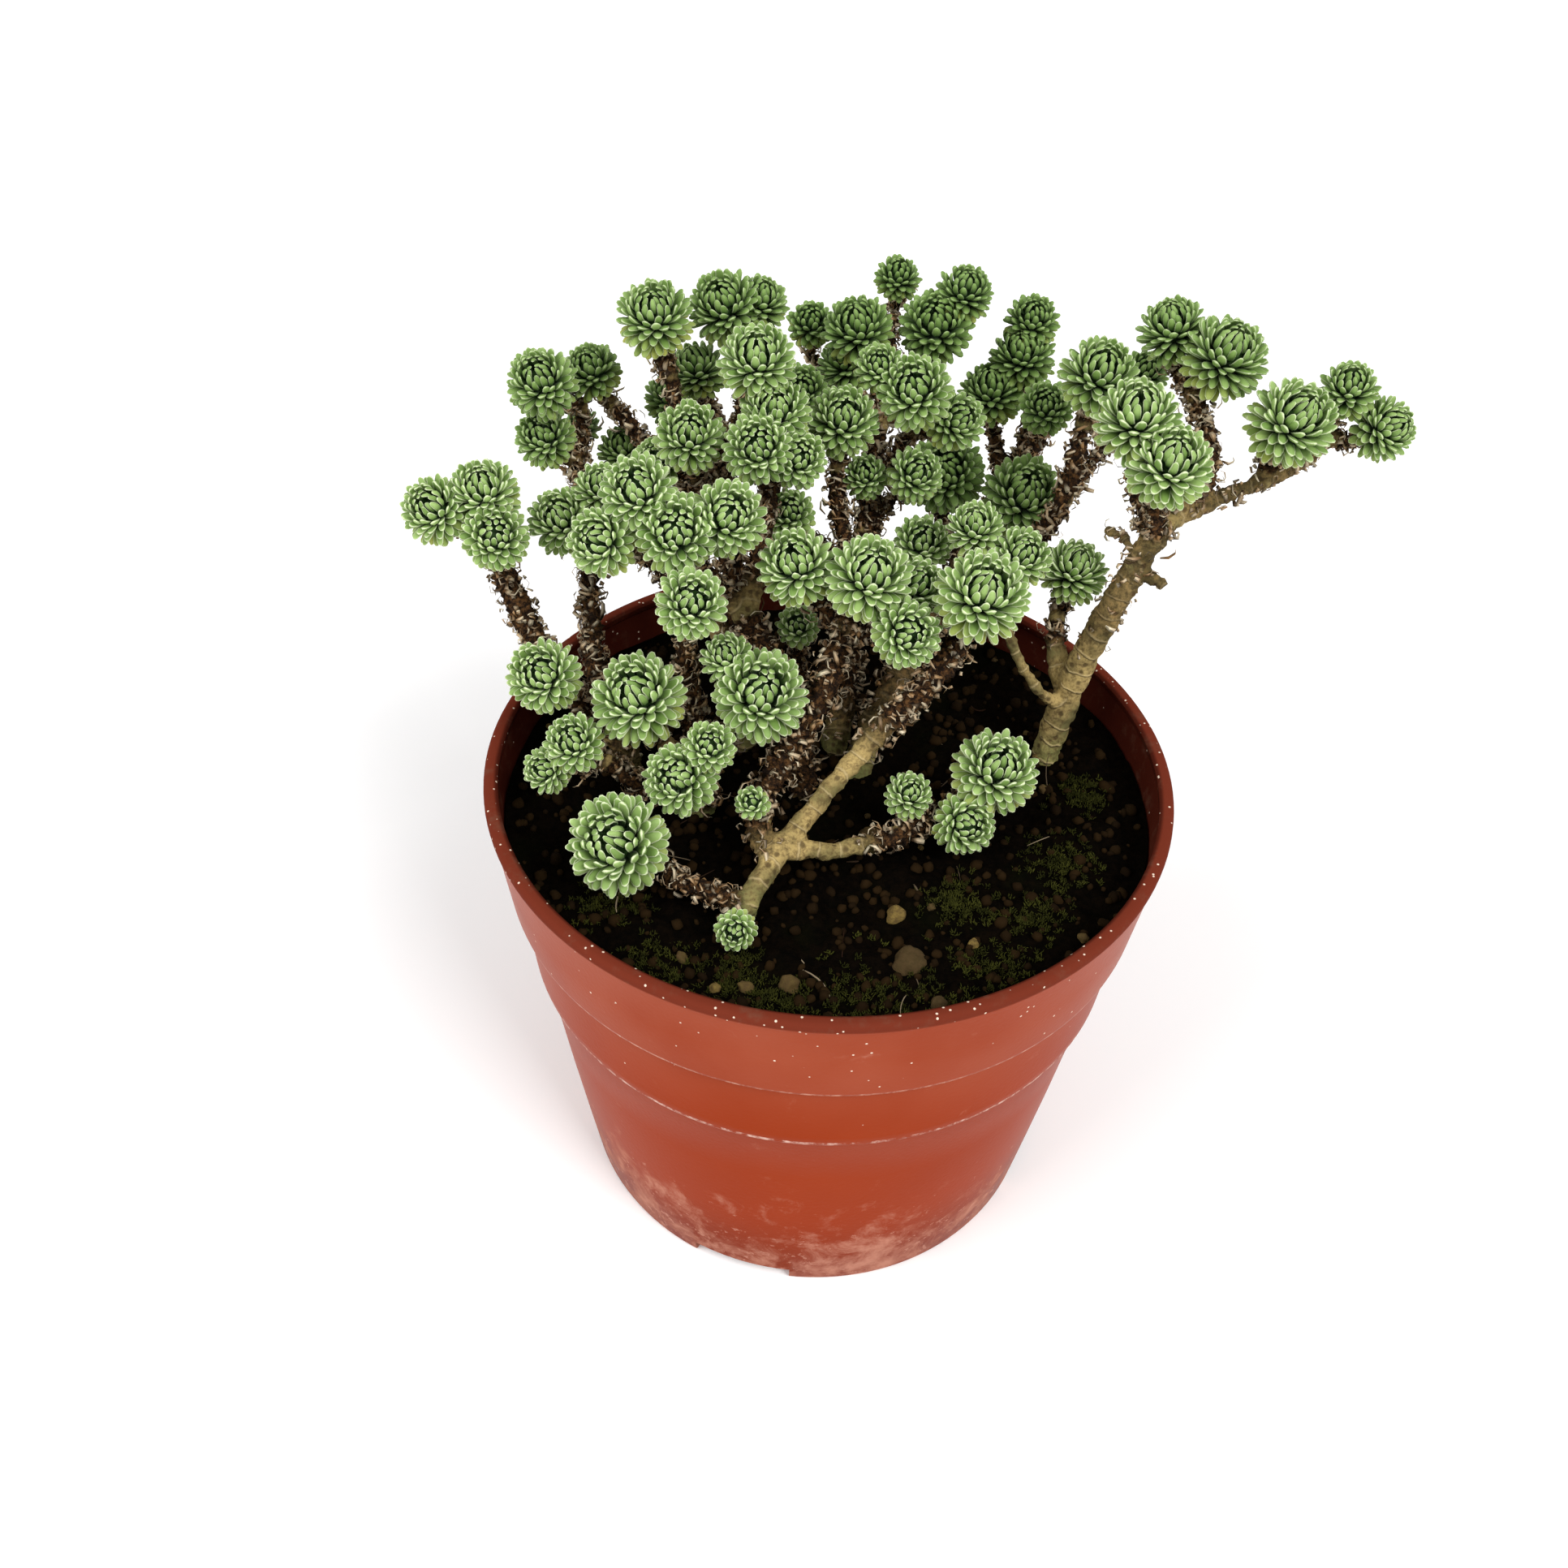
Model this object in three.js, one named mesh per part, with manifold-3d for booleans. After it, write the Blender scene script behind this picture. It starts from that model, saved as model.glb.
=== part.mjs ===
// Potted Sedum multiceps: a round nursery pot, its soil, eight small trunks and the rosettes at their tips.
// Millimetres, +Z up, the front towards -Y. The origin is on the pot's axis, on the surface it stands on.
import * as THREE from "three";
import { ConvexHull } from "three/addons/math/ConvexHull.js";
import { mergeVertices } from "three/addons/utils/BufferGeometryUtils.js";
import Module from "manifold-3d";

const wasm = await Module();
wasm.setup();

// Driving dimensions of the pot.
const POT_HEIGHT = 82;
const RIM_RADIUS = 52.5;
const RIM_INNER_RADIUS = 50.3;
const BASE_RADIUS = 40;
const WALL = 1.2;
const FLOOR = 1.4;
const RIDGE_HEIGHT = 48.5;
const RIDGE_RADIUS = 46.5;
const RIDGE_STEP = 1.1;
const COLLAR_HEIGHT = 64.5;
const COLLAR_RADIUS = 50.2;
const COLLAR_STEP = 1.3;
const POT_SIDES = 36;

// Four drainage channels in the base edge, each with a drain hole in its roof.
const CHANNELS = 4;
const CHANNEL_FIRST_DEG = -104;
const CHANNEL_WIDTH_DEG = 24;
const CHANNEL_ROOF_MARGIN_DEG = 2.5;
const CHANNEL_HEIGHT = 3;
const CHANNEL_INNER_RADIUS = 27;
const DRAIN_RADIUS = 4.5;
const DRAIN_AT_RADIUS = 33.5;
const DRAIN_SIDES = 12;
const ARC_SEGMENTS = 3;
const ROOF_INSET = 0.6;
const CUT_MARGIN = 5;

// The soil and its relief.
const SOIL_LEVEL = 74.6;
const SOIL_GAP = 0.5;
const SOIL_SIDES = 28;
const SOIL_RINGS = 3;
const HOLE_SIDES = 8;
const SOIL_RELIEF = 0.8;
const SOIL_EDGE_RELIEF = 0.32;
const SOIL_MIDDLE_LIFT = 0.5;
const SOIL_TOP_INSET = 1;
const SOIL_SEED = 7;
const HOLE_DEPTH = 7.5;
const HOLE_MARGIN = 0.75;
const CLEARANCE = 0.3;
const CLEARANCE_DEG = 1.5;

// What counts as one point when a mesh is merged, and as a scrap when solids are joined.
const MERGE_WITHIN = 1e-4;
const SCRAP = 0.05;

// The rosettes: leaves stand out of a smaller core.
const VALLEY_SHARE = 0.74;
const TIP_REACH = 1.05;
const TIP_SPREAD = 0.06;
const UNDERSIDE_SHARE = 0.66;
const LEAVES_BY_RADIUS = [
  [5.3, 24],
  [4.6, 20],
  [4, 17],
  [3, 14],
  [0, 12],
];
const LOWEST_LEAF = -0.66;
const LEAN = new THREE.Vector3(0, -0.62, 0.78);
const FOOT_WEIGHT = 0.45;
const NECK_FROM = 0.74;
const NECK_SHARE = 0.3;
const CLUMP_SEED = 200;

// The stems.
const STEM_SIDES = 5;
const TRUNK_SIDES = 6;
const SHOOT_GAP = 0.35;
const SHOOT_SHARE = 0.26;
const SHOOT_MOST = 1.5;
const SHOOT_SIDES = 4;
const SHOOT_SWELL = 1.1;
const SHOOT_TAPER = 0.8;
const BEND_SHARE = 0.45;
const BEND_MOST = 2.5;
const SHAG = 0.16;
const TRUNK_SEED = 100;

// The first ring of a limb is laid out from this direction, which no limb runs along.
const RING_START = new THREE.Vector3(0.31, 0.87, 0.21);

// Colour and roughness of the pot's plastic, the damp soil, the bark and the leaves.
const PLASTIC = { color: 0xb8452a, roughness: 0.45 };
const DAMP_SOIL = { color: 0x241b14, roughness: 0.95 };
const BARK = { color: 0x6d5540, roughness: 0.9 };
const LEAF = { color: 0x7d9b78, roughness: 0.7 };

// Limbs of each trunk, as [x, y, z, radius] points by hand. The first point of a limb lies in its parent.
const TRUNKS = [
  {
    name: "trunk_front",
    limbs: [
      [
        [-11.5, -29, 69, 2], [-11, -28, 75, 1.9], [-10, -26.2, 78, 1.7], [-7.5, -21.5, 80, 1.9],
        [-5, -17.5, 81.5, 1.8],
      ],
      [
        [-5, -17.5, 81.5, 1.6], [3, -9, 89, 1.6], [9, -5, 95, 2.1], [15, -1, 101, 2.2],
        [18.5, 4.5, 105, 1.9],
      ],
      [
        [-6, -19, 81, 1.6], [1, -17.5, 79.5, 1.4], [8, -14.5, 79, 1.6], [14, -11, 79.5, 1.8],
        [18, -7, 79.5, 1.7],
      ],
      [
        [-7, -20.5, 80, 2.1], [-10, -16, 83.5, 2.1], [-7, -9.5, 89, 2.2], [-2, -2, 95.5, 2.4],
        [1, 6.5, 102, 2],
      ],
      [[-10.5, -27, 76.8, 1.8], [-15, -27, 78.4, 1.7], [-21, -24.5, 79, 1.6], [-25.5, -20.5, 78.8, 1.5]],
    ],
  },
  {
    name: "trunk_right",
    limbs: [
      [
        [34, 12, 69, 2.3], [35, 13, 75, 2.3], [37, 15, 86, 2.5], [40, 16, 97, 2.3], [44, 18, 108, 2.2],
        [48, 21, 114.5, 2],
      ],
      [
        [48, 21, 114.5, 1.6], [55, 25, 116, 1.3], [63, 30, 117, 1.3], [70, 34.5, 118.5, 1.2],
        [74, 38, 120.5, 1.2],
      ],
      [[50, 22.5, 115, 1.8], [54, 27.5, 119.5, 1.7], [53.5, 33.5, 123, 1.6], [52.5, 39, 125, 1.5]],
      [[37, 15, 85, 1.9], [35, 18, 90, 1.8], [34.5, 22, 95, 1.6]],
      [[36.5, 14, 83.5, 1.1], [31.5, 12, 89, 0.9], [27, 13, 96, 0.9], [24.5, 20, 101.5, 1.2]],
      [[44, 18, 108, 0.8], [43, 23, 109.5, 0.7], [41, 29, 107.5, 0.6]],
      [[44.2, 17.8, 107.5, 1.2], [46.5, 16.2, 107.8, 1], [48.3, 15, 107.1, 0.8]],
    ],
  },
  {
    name: "trunk_front_left",
    limbs: [
      [
        [-19.5, -5.5, 69, 2.3], [-19, -5, 75, 2.3], [-20, -2.5, 86, 2], [-22, 1, 96, 1.8],
        [-22, 2, 104, 1.6],
      ],
      [[-19.2, -4.5, 79, 1.7], [-16, -1.5, 86, 1.5], [-13, -0.5, 91.5, 1.5]],
      [[-19.2, -5, 76.8, 1.7], [-17.5, -7.5, 80.5, 1.6], [-17.5, -9.5, 84.5, 1.5]],
      [[-19.6, -4, 80, 1.7], [-24, -3, 84.5, 1.6], [-26.5, -2.5, 88, 1.5]],
      [[-19.4, -5, 77, 1.6], [-26, -8.5, 81, 1.6], [-33, -7.5, 85.5, 1.5]],
    ],
  },
  {
    name: "trunk_left",
    limbs: [
      [
        [-30.5, 2, 69, 2.3], [-31, 2, 75, 2.3], [-34, 5, 82, 2], [-37, 10, 89, 1.8],
        [-38.5, 16, 96, 1.7], [-39.5, 23, 101, 1.6],
      ],
      [
        [-33, 4, 80, 1.9], [-39, 7, 84.5, 2], [-44.5, 9.5, 90, 2], [-50, 14.5, 98.5, 2.2],
        [-53.5, 20.5, 105.5, 2],
      ],
      [[-34, 4.5, 81, 1.6], [-37, 3, 86, 1.5], [-40, 2, 90, 1.4]],
    ],
  },
  {
    name: "trunk_centre",
    limbs: [
      [[-4, 1.5, 69, 2.8], [-4.2, 2.2, 75, 2.7], [-6, 5, 84, 2.6], [-10, 9, 92, 2.5], [-14, 13, 99, 2.2]],
      [[-14, 13, 99, 1.9], [-20, 15, 104, 1.8], [-25, 15.5, 109.5, 1.7]],
      [[-14, 13, 99, 1.9], [-12.5, 21, 106, 1.8], [-12, 29, 111.5, 1.7], [-12, 32, 114.5, 1.7]],
      [[-5.5, 5.5, 85, 1.5], [-5.5, 12, 88, 1.2], [-6, 16, 91.5, 1.1]],
    ],
  },
  {
    name: "trunk_back_left",
    limbs: [
      [
        [-14, 12, 69, 2.8], [-14, 13, 77, 2.6], [-15, 18, 88, 2.4], [-17, 25, 99, 2.2],
        [-20, 33, 109, 2], [-20.5, 39, 116, 1.8],
      ],
      [
        [-15, 17.5, 87, 2], [-24, 22.5, 95, 1.8], [-33, 28, 101, 1.8], [-41, 35, 104.5, 1.7],
        [-44.5, 42, 106, 1.6],
      ],
      [[-17.5, 26.5, 101, 1.7], [-25, 34, 107.5, 1.6], [-32, 40, 111.5, 1.5], [-38, 46, 114.5, 1.4]],
      [[-34, 29, 101.3, 1.5], [-36, 38, 100, 1.4], [-36.5, 46, 100.5, 1.3]],
      [[-18.5, 29, 104, 1.7], [-21.5, 30, 108, 1.6], [-23, 30, 112, 1.5]],
      [[-19, 31, 106.5, 1.4], [-25, 42, 107, 1.3], [-30, 52, 107.5, 1.2]],
      [[-20, 33, 109, 1.6], [-25, 34.5, 116, 1.5], [-28, 37.5, 124, 1.4]],
      [[-19.7, 32.5, 108.5, 1.6], [-17.5, 38.5, 115.5, 1.5], [-17, 44.5, 122.5, 1.4]],
      [[-44.5, 42, 106, 1.5], [-44, 46.5, 109.5, 1.4], [-43.5, 46.5, 114, 1.3]],
    ],
  },
  {
    name: "trunk_back",
    limbs: [
      [
        [1, 12, 69, 2.8], [1, 12.5, 76, 2.6], [2, 20, 87, 2.4], [3, 29, 97, 2.2], [4, 40, 105, 2],
        [4.5, 51, 111.5, 1.8],
      ],
      [[3.5, 34, 101, 1.6], [6, 37, 104, 1.5]],
      [[4, 41, 105.5, 1.7], [8.5, 42, 112, 1.6], [9.5, 40.5, 117, 1.5]],
      [[3, 28, 96.5, 1.7], [-0.5, 30.5, 105, 1.6], [-1.5, 34, 112.5, 1.5]],
      [[3, 28.5, 97, 1.4], [-3, 32.5, 99, 1.3], [-8, 34, 101, 1.2]],
      [[4.5, 50, 111, 1.4], [-3, 51, 111, 1.3], [-7.5, 52, 112, 1.2]],
      [[4.5, 51, 111.5, 1.5], [5.5, 61, 116, 1.4], [6.5, 70, 120.5, 1.2]],
      [[4.5, 51, 111.5, 1.4], [-2, 60, 113, 1.3], [-7, 65.5, 115, 1.2]],
      [[4.5, 51, 111.5, 1.6], [11, 56, 114.5, 1.5], [13.5, 60, 117.5, 1.5]],
    ],
  },
  {
    name: "trunk_back_right",
    limbs: [
      [
        [4, 5, 69, 2.6], [4.5, 6, 76, 2.5], [9.5, 14, 86.5, 2.4], [15.5, 26, 90, 2.2], [19, 34, 92, 2.1],
        [22.5, 44, 95.5, 2], [27, 55, 99, 1.8],
      ],
      [[15.5, 26, 89.5, 1.4], [13.5, 31, 92, 1.3], [12.5, 32, 97, 1.2]],
      [[20, 37, 93, 1.7], [17.5, 46, 93, 1.6], [16.5, 53, 95.5, 1.5]],
      [[22.5, 44, 95.5, 1.7], [27, 46.5, 96, 1.6], [29, 47, 98, 1.5]],
      [
        [19, 34, 92, 1.9], [26, 34, 96.5, 1.8], [32, 35, 102.5, 1.7], [35, 36.5, 110, 1.7],
        [36.5, 40, 119, 1.6],
      ],
      [[34.5, 36, 108, 1.4], [40, 44, 111.5, 1.2], [45, 53, 116.5, 1.1]],
      [[27, 55, 99, 1.5], [31, 55, 106, 1.4], [32.5, 54, 110, 1.3]],
      [[27, 55, 99, 1.6], [30, 58.5, 104, 1.5], [31, 62, 109, 1.4]],
    ],
  },
];

// Rosette clumps: the trunk that carries them, the foot of their shoots and each head as [x, y, z, radius].
const CLUMPS = [
  {
    name: "rosettes_left_tip", trunk: "trunk_left", foot: [-53.5, 20.5, 105.5],
    heads: [[-60.5, 15, 113, 4.8], [-53.5, 17, 115, 5], [-51.5, 13, 110.5, 4.8]],
  },
  {
    name: "rosettes_left", trunk: "trunk_left", foot: [-39.5, 23, 101],
    heads: [[-43, 21, 108.5, 4.9], [-37.5, 24, 112.5, 4]],
  },
  {
    name: "rosettes_back_left_1", trunk: "trunk_back_left", foot: [-44.5, 42, 106],
    heads: [[-48.5, 39.5, 112, 4.6], [-48, 38, 122.5, 5.2, [-43.5, 46.5, 114]]],
  },
  {
    name: "rosettes_back_left_2", trunk: "trunk_back_left", foot: [-38, 46, 114.5],
    heads: [[-41.5, 46, 120.5, 4.4]],
  },
  {
    name: "rosettes_back_left_3", trunk: "trunk_back_left", foot: [-44.5, 42, 106],
    heads: [[-44.5, 50, 108.5, 3]],
  },
  {
    name: "rosettes_back_left_4", trunk: "trunk_back_left", foot: [-36.5, 46, 100.5],
    heads: [[-37, 46, 106.5, 4.2]],
  },
  {
    name: "rosettes_top_left_1", trunk: "trunk_back_left", foot: [-28, 37.5, 124],
    heads: [[-30, 37, 134.5, 5.4]],
  },
  {
    name: "rosettes_top_left_2", trunk: "trunk_back_left", foot: [-17, 44.5, 122.5],
    heads: [[-20, 44, 133.5, 5.4], [-15, 46, 133.5, 4.2]],
  },
  {
    name: "rosettes_top_left_3", trunk: "trunk_back_left", foot: [-20.5, 39, 116],
    heads: [[-24.5, 44, 122.5, 4.6]],
  },
  {
    name: "rosettes_top_left_4", trunk: "trunk_back_left", foot: [-30, 52, 107.5],
    heads: [[-30, 54, 112.3, 4.2]],
  },
  {
    name: "rosettes_top_left_5", trunk: "trunk_back_left", foot: [-23, 30, 112],
    heads: [[-23.5, 24, 122.5, 5], [-28.5, 26, 117, 3.6]],
  },
  {
    name: "rosettes_top_left_6", trunk: "trunk_centre", foot: [-12, 32, 114.5],
    heads: [[-14, 29, 132.5, 5.4], [-11, 26, 126, 5], [-13, 21, 123, 5], [-7.5, 22, 121, 4.2]],
  },
  { name: "rosettes_top_1", trunk: "trunk_back", foot: [-7.5, 52, 112], heads: [[-8, 48, 118, 4.2]] },
  { name: "rosettes_top_2", trunk: "trunk_back", foot: [-1.5, 34, 112.5], heads: [[-1, 32, 122, 5.2]] },
  { name: "rosettes_top_3", trunk: "trunk_back", foot: [-8, 34, 101], heads: [[-8.5, 30, 106.5, 3.8]] },
  {
    name: "rosettes_mid_left_1", trunk: "trunk_centre", foot: [-25, 15.5, 109.5],
    heads: [[-34, 5, 116, 4.8], [-29, 8, 122.5, 5.2], [-23.5, 5, 118, 5.4], [-16.5, 8, 119, 5.2]],
  },
  {
    name: "rosettes_mid_left_2", trunk: "trunk_front_left", foot: [-22, 2, 104],
    heads: [[-20.5, -4, 112.5, 4.8]],
  },
  { name: "rosettes_back_1", trunk: "trunk_back", foot: [6.5, 70, 120.5], heads: [[6.5, 70, 128, 3.6]] },
  {
    name: "rosettes_back_2", trunk: "trunk_back", foot: [13.5, 60, 117.5],
    heads: [[13, 57, 126, 5.6], [17, 59, 131, 4.4]],
  },
  { name: "rosettes_back_3", trunk: "trunk_back", foot: [-7, 65.5, 115], heads: [[-7.5, 64, 122, 3.8]] },
  {
    name: "rosettes_back_4", trunk: "trunk_back", foot: [4.5, 51, 111.5],
    heads: [[0.5, 54, 126, 5.4], [-1, 55, 119.5, 4.6]],
  },
  {
    name: "rosettes_back_5", trunk: "trunk_back", foot: [9.5, 40.5, 117],
    heads: [[4, 37, 128.5, 3.6], [9.5, 34, 126.5, 5.4], [16, 36, 121, 4.4]],
  },
  {
    name: "rosettes_back_6", trunk: "trunk_back_right", foot: [16.5, 53, 95.5],
    heads: [[16.5, 50, 103.5, 6.2]],
  },
  { name: "rosettes_back_7", trunk: "trunk_back", foot: [6, 37, 104], heads: [[10.5, 32, 113.5, 4.2]] },
  { name: "rosettes_back_8", trunk: "trunk_back", foot: [6, 37, 104], heads: [[3, 34, 111.5, 3.4]] },
  {
    name: "rosettes_back_right_1", trunk: "trunk_back_right", foot: [27, 55, 99],
    heads: [[23.5, 60, 113, 5.2], [28, 62, 119, 5.2, [31, 62, 109]], [29, 64, 124.5, 4.2, [31, 62, 109]]],
  },
  {
    name: "rosettes_back_right_2", trunk: "trunk_back_right", foot: [32.5, 54, 110],
    heads: [[31.5, 50, 116.5, 4.2]],
  },
  {
    name: "rosettes_back_right_3", trunk: "trunk_back_right", foot: [29, 47, 98],
    heads: [[29, 42, 104.5, 6.4]],
  },
  {
    name: "rosettes_right_1", trunk: "trunk_back_right", foot: [36.5, 40, 119],
    heads: [[37, 38, 128.5, 5.6]],
  },
  {
    name: "rosettes_right_2", trunk: "trunk_right", foot: [46, 19.5, 111.5],
    heads: [[40.7, 21, 130.5, 5.9], [45.5, 16, 126.5, 5.8]],
  },
  {
    name: "rosettes_right_3", trunk: "trunk_right", foot: [52.5, 39, 125],
    heads: [[48, 44, 133.5, 5], [55, 38, 132.5, 6]],
  },
  {
    name: "rosettes_right_4", trunk: "trunk_back_right", foot: [45, 53, 116.5],
    heads: [[46.5, 52, 122.5, 3.6]],
  },
  { name: "rosettes_right_5", trunk: "trunk_right", foot: [63, 30, 117], heads: [[64.8, 30, 126.8, 6.2]] },
  {
    name: "rosettes_right_tip", trunk: "trunk_right", foot: [74, 38, 120.5],
    heads: [[74.5, 38, 128.5, 4.2], [80.5, 36, 123.5, 4.6]],
  },
  {
    name: "rosettes_centre_1", trunk: "trunk_front", foot: [1, 6.5, 102],
    heads: [[-6.2, 6, 112.8, 5.4], [4, 3, 113.5, 5.8], [10.5, 6.5, 110, 4.4], [9.8, -1.5, 107.8, 4.7]],
  },
  { name: "rosettes_centre_2", trunk: "trunk_front", foot: [18.5, 4.5, 105], heads: [[20, 1, 113, 6.2]] },
  {
    name: "rosettes_centre_3", trunk: "trunk_right", foot: [24.5, 20, 101.5],
    heads: [[20, 22, 110.5, 4.2], [27, 19, 108, 4.4]],
  },
  { name: "rosettes_centre_4", trunk: "trunk_right", foot: [34.5, 22, 95], heads: [[36, 24, 102.5, 5]] },
  {
    name: "rosettes_centre_5", trunk: "trunk_back_right", foot: [12.5, 32, 97],
    heads: [[12.5, 28, 103.5, 4.4]],
  },
  {
    name: "rosettes_centre_6", trunk: "trunk_centre", foot: [-6, 16, 91.5],
    heads: [[-6, 14, 96.5, 3.2]],
  },
  { name: "rosettes_front_1", trunk: "trunk_left", foot: [-40, 2, 90], heads: [[-42.5, -2, 96.5, 5.2]] },
  {
    name: "rosettes_front_2", trunk: "trunk_front_left", foot: [-26.5, -2.5, 88],
    heads: [[-28, -6, 96.5, 6.4]],
  },
  {
    name: "rosettes_front_3", trunk: "trunk_front_left", foot: [-13, -0.5, 91.5],
    heads: [[-10.5, -6, 98.5, 6.4], [-15.5, -2.5, 102, 3.6]],
  },
  {
    name: "rosettes_front_4", trunk: "trunk_front_left", foot: [-33, -7.5, 85.5],
    heads: [[-37, -11, 91.5, 4.2], [-41, -12, 87, 3.4]],
  },
  {
    name: "rosettes_front_5", trunk: "trunk_front_left", foot: [-17.5, -9.5, 84.5],
    heads: [[-17, -14.5, 95.5, 3.6], [-21, -16, 90.5, 5]],
  },
  {
    name: "rosettes_front_6", trunk: "trunk_front", foot: [-25.5, -20.5, 78.8],
    heads: [[-29, -24, 84.5, 6.8]],
  },
  {
    name: "rosettes_front_7", trunk: "trunk_front", foot: [-9.5, -15.5, 84],
    heads: [[-10.5, -17.5, 88, 2.4]],
  },
  {
    name: "rosettes_low_right_1", trunk: "trunk_front", foot: [18, -7, 79.5],
    heads: [[24.5, -7, 87.5, 5.9], [20.5, -12, 81.5, 4.4]],
  },
  {
    name: "rosettes_low_right_2", trunk: "trunk_front", foot: [11, -12.5, 79.2],
    heads: [[12, -10, 84.5, 3.4]],
  },
  {
    name: "rosettes_sprout", trunk: "trunk_front", foot: [-11, -28.5, 76.6],
    heads: [[-11.5, -33.5, 78.6, 2.8]],
  },
];

// A seeded random draw between 0 and 1.
function randomFrom(seed) {
  let state = seed >>> 0;
  return () => {
    state = (state + 0x6d2b79f5) >>> 0;
    let t = Math.imul(state ^ (state >>> 15), 1 | state);
    t = (t + Math.imul(t ^ (t >>> 7), 61 | t)) ^ t;
    return ((t ^ (t >>> 14)) >>> 0) / 4294967296;
  };
}

// A geometry from a list of points and triangles of their indices.
function geometryOf(points, triangles) {
  const positions = new Float32Array(points.flatMap((p) => [p.x, p.y, p.z]));
  return new THREE.BufferGeometry()
    .setAttribute("position", new THREE.BufferAttribute(positions, 3))
    .setIndex(triangles);
}

function solidOf(geometry) {
  const bare = geometry.clone();
  bare.deleteAttribute("normal");
  bare.deleteAttribute("uv");
  const merged = mergeVertices(bare, MERGE_WITHIN);
  return new wasm.Manifold(
    new wasm.Mesh({
      numProp: 3,
      vertProperties: new Float32Array(merged.attributes.position.array),
      triVerts: new Uint32Array(merged.index.array),
    }),
  );
}

function geometryFrom(solid) {
  const mesh = solid.getMesh();
  return new THREE.BufferGeometry()
    .setAttribute("position", new THREE.BufferAttribute(mesh.vertProperties, 3))
    .setIndex(new THREE.BufferAttribute(mesh.triVerts, 1));
}

// Solids joined into one body. Scraps and sealed hollows that the joins leave are dropped.
function joined(name, solids) {
  const bodies = solids.reduce((all, next) => all.add(next)).decompose();
  const sizes = bodies.map((body) => body.volume());
  const largest = Math.max(...sizes);
  if (sizes.some((size) => size > SCRAP && size < largest)) throw new Error(name + " falls apart");
  return bodies[sizes.indexOf(largest)];
}

function meshOf(name, solid, look) {
  const material = new THREE.MeshStandardMaterial({ ...look, metalness: 0 });
  const mesh = new THREE.Mesh(geometryFrom(solid), material);
  mesh.name = name;
  return mesh;
}

// A lathe about +Z of a profile of [radius, height] points that starts and ends on the axis.
function turned(profile, sides) {
  const outline = profile.map(([r, z]) => new THREE.Vector2(r, z));
  return new THREE.LatheGeometry(outline, sides).rotateX(Math.PI / 2);
}

// A block of a ring: between two radii and two heights, centred on an angle.
function ringBlock(inner, outer, low, high, centreDeg, widthDeg) {
  const from = THREE.MathUtils.degToRad(centreDeg - widthDeg / 2);
  const to = THREE.MathUtils.degToRad(centreDeg + widthDeg / 2);
  const shape = new THREE.Shape();
  shape.absarc(0, 0, outer, from, to, false);
  shape.absarc(0, 0, inner, to, from, true);
  shape.closePath();
  const options = { depth: high - low, bevelEnabled: false, curveSegments: ARC_SEGMENTS };
  return solidOf(new THREE.ExtrudeGeometry(shape, options).translate(0, 0, low));
}

function uprightCylinder(x, y, radius, low, high, sides) {
  const cylinder = new THREE.CylinderGeometry(radius, radius, high - low, sides);
  return solidOf(cylinder.rotateX(Math.PI / 2).translate(x, y, (low + high) / 2));
}

// The wall's outer radius at each height where it turns, from the base up, and the same inside, from the
// rim down. The soil follows the inside from the collar down.
const OUTSIDE = [
  [BASE_RADIUS - 0.5, 0],
  [BASE_RADIUS + 0.1, 0.8],
  [RIDGE_RADIUS, RIDGE_HEIGHT],
  [RIDGE_RADIUS + RIDGE_STEP, RIDGE_HEIGHT + 0.8],
  [COLLAR_RADIUS - COLLAR_STEP, COLLAR_HEIGHT - 0.8],
  [COLLAR_RADIUS, COLLAR_HEIGHT],
  [RIM_RADIUS - 0.2, POT_HEIGHT - 2],
  [RIM_RADIUS, POT_HEIGHT - 0.6],
  [RIM_RADIUS - 0.4, POT_HEIGHT],
];
const COLLAR_INSIDE = 4;
const INSIDE = [
  [RIM_INNER_RADIUS + 0.3, POT_HEIGHT],
  [RIM_INNER_RADIUS, POT_HEIGHT - 0.5],
  [RIM_INNER_RADIUS + 0.1, POT_HEIGHT - 1.4],
  [RIM_RADIUS - WALL - 0.2, POT_HEIGHT - 2.2],
  [COLLAR_RADIUS - WALL, COLLAR_HEIGHT + 1],
  [COLLAR_RADIUS - COLLAR_STEP - WALL, COLLAR_HEIGHT - 1],
  [RIDGE_RADIUS + RIDGE_STEP - WALL, RIDGE_HEIGHT + 1.1],
  [RIDGE_RADIUS - WALL, RIDGE_HEIGHT - 0.3],
  [BASE_RADIUS - WALL + 0.1, FLOOR],
];

function channelAngles() {
  return Array.from({ length: CHANNELS }, (_, i) => CHANNEL_FIRST_DEG + (i * 360) / CHANNELS);
}

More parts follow.
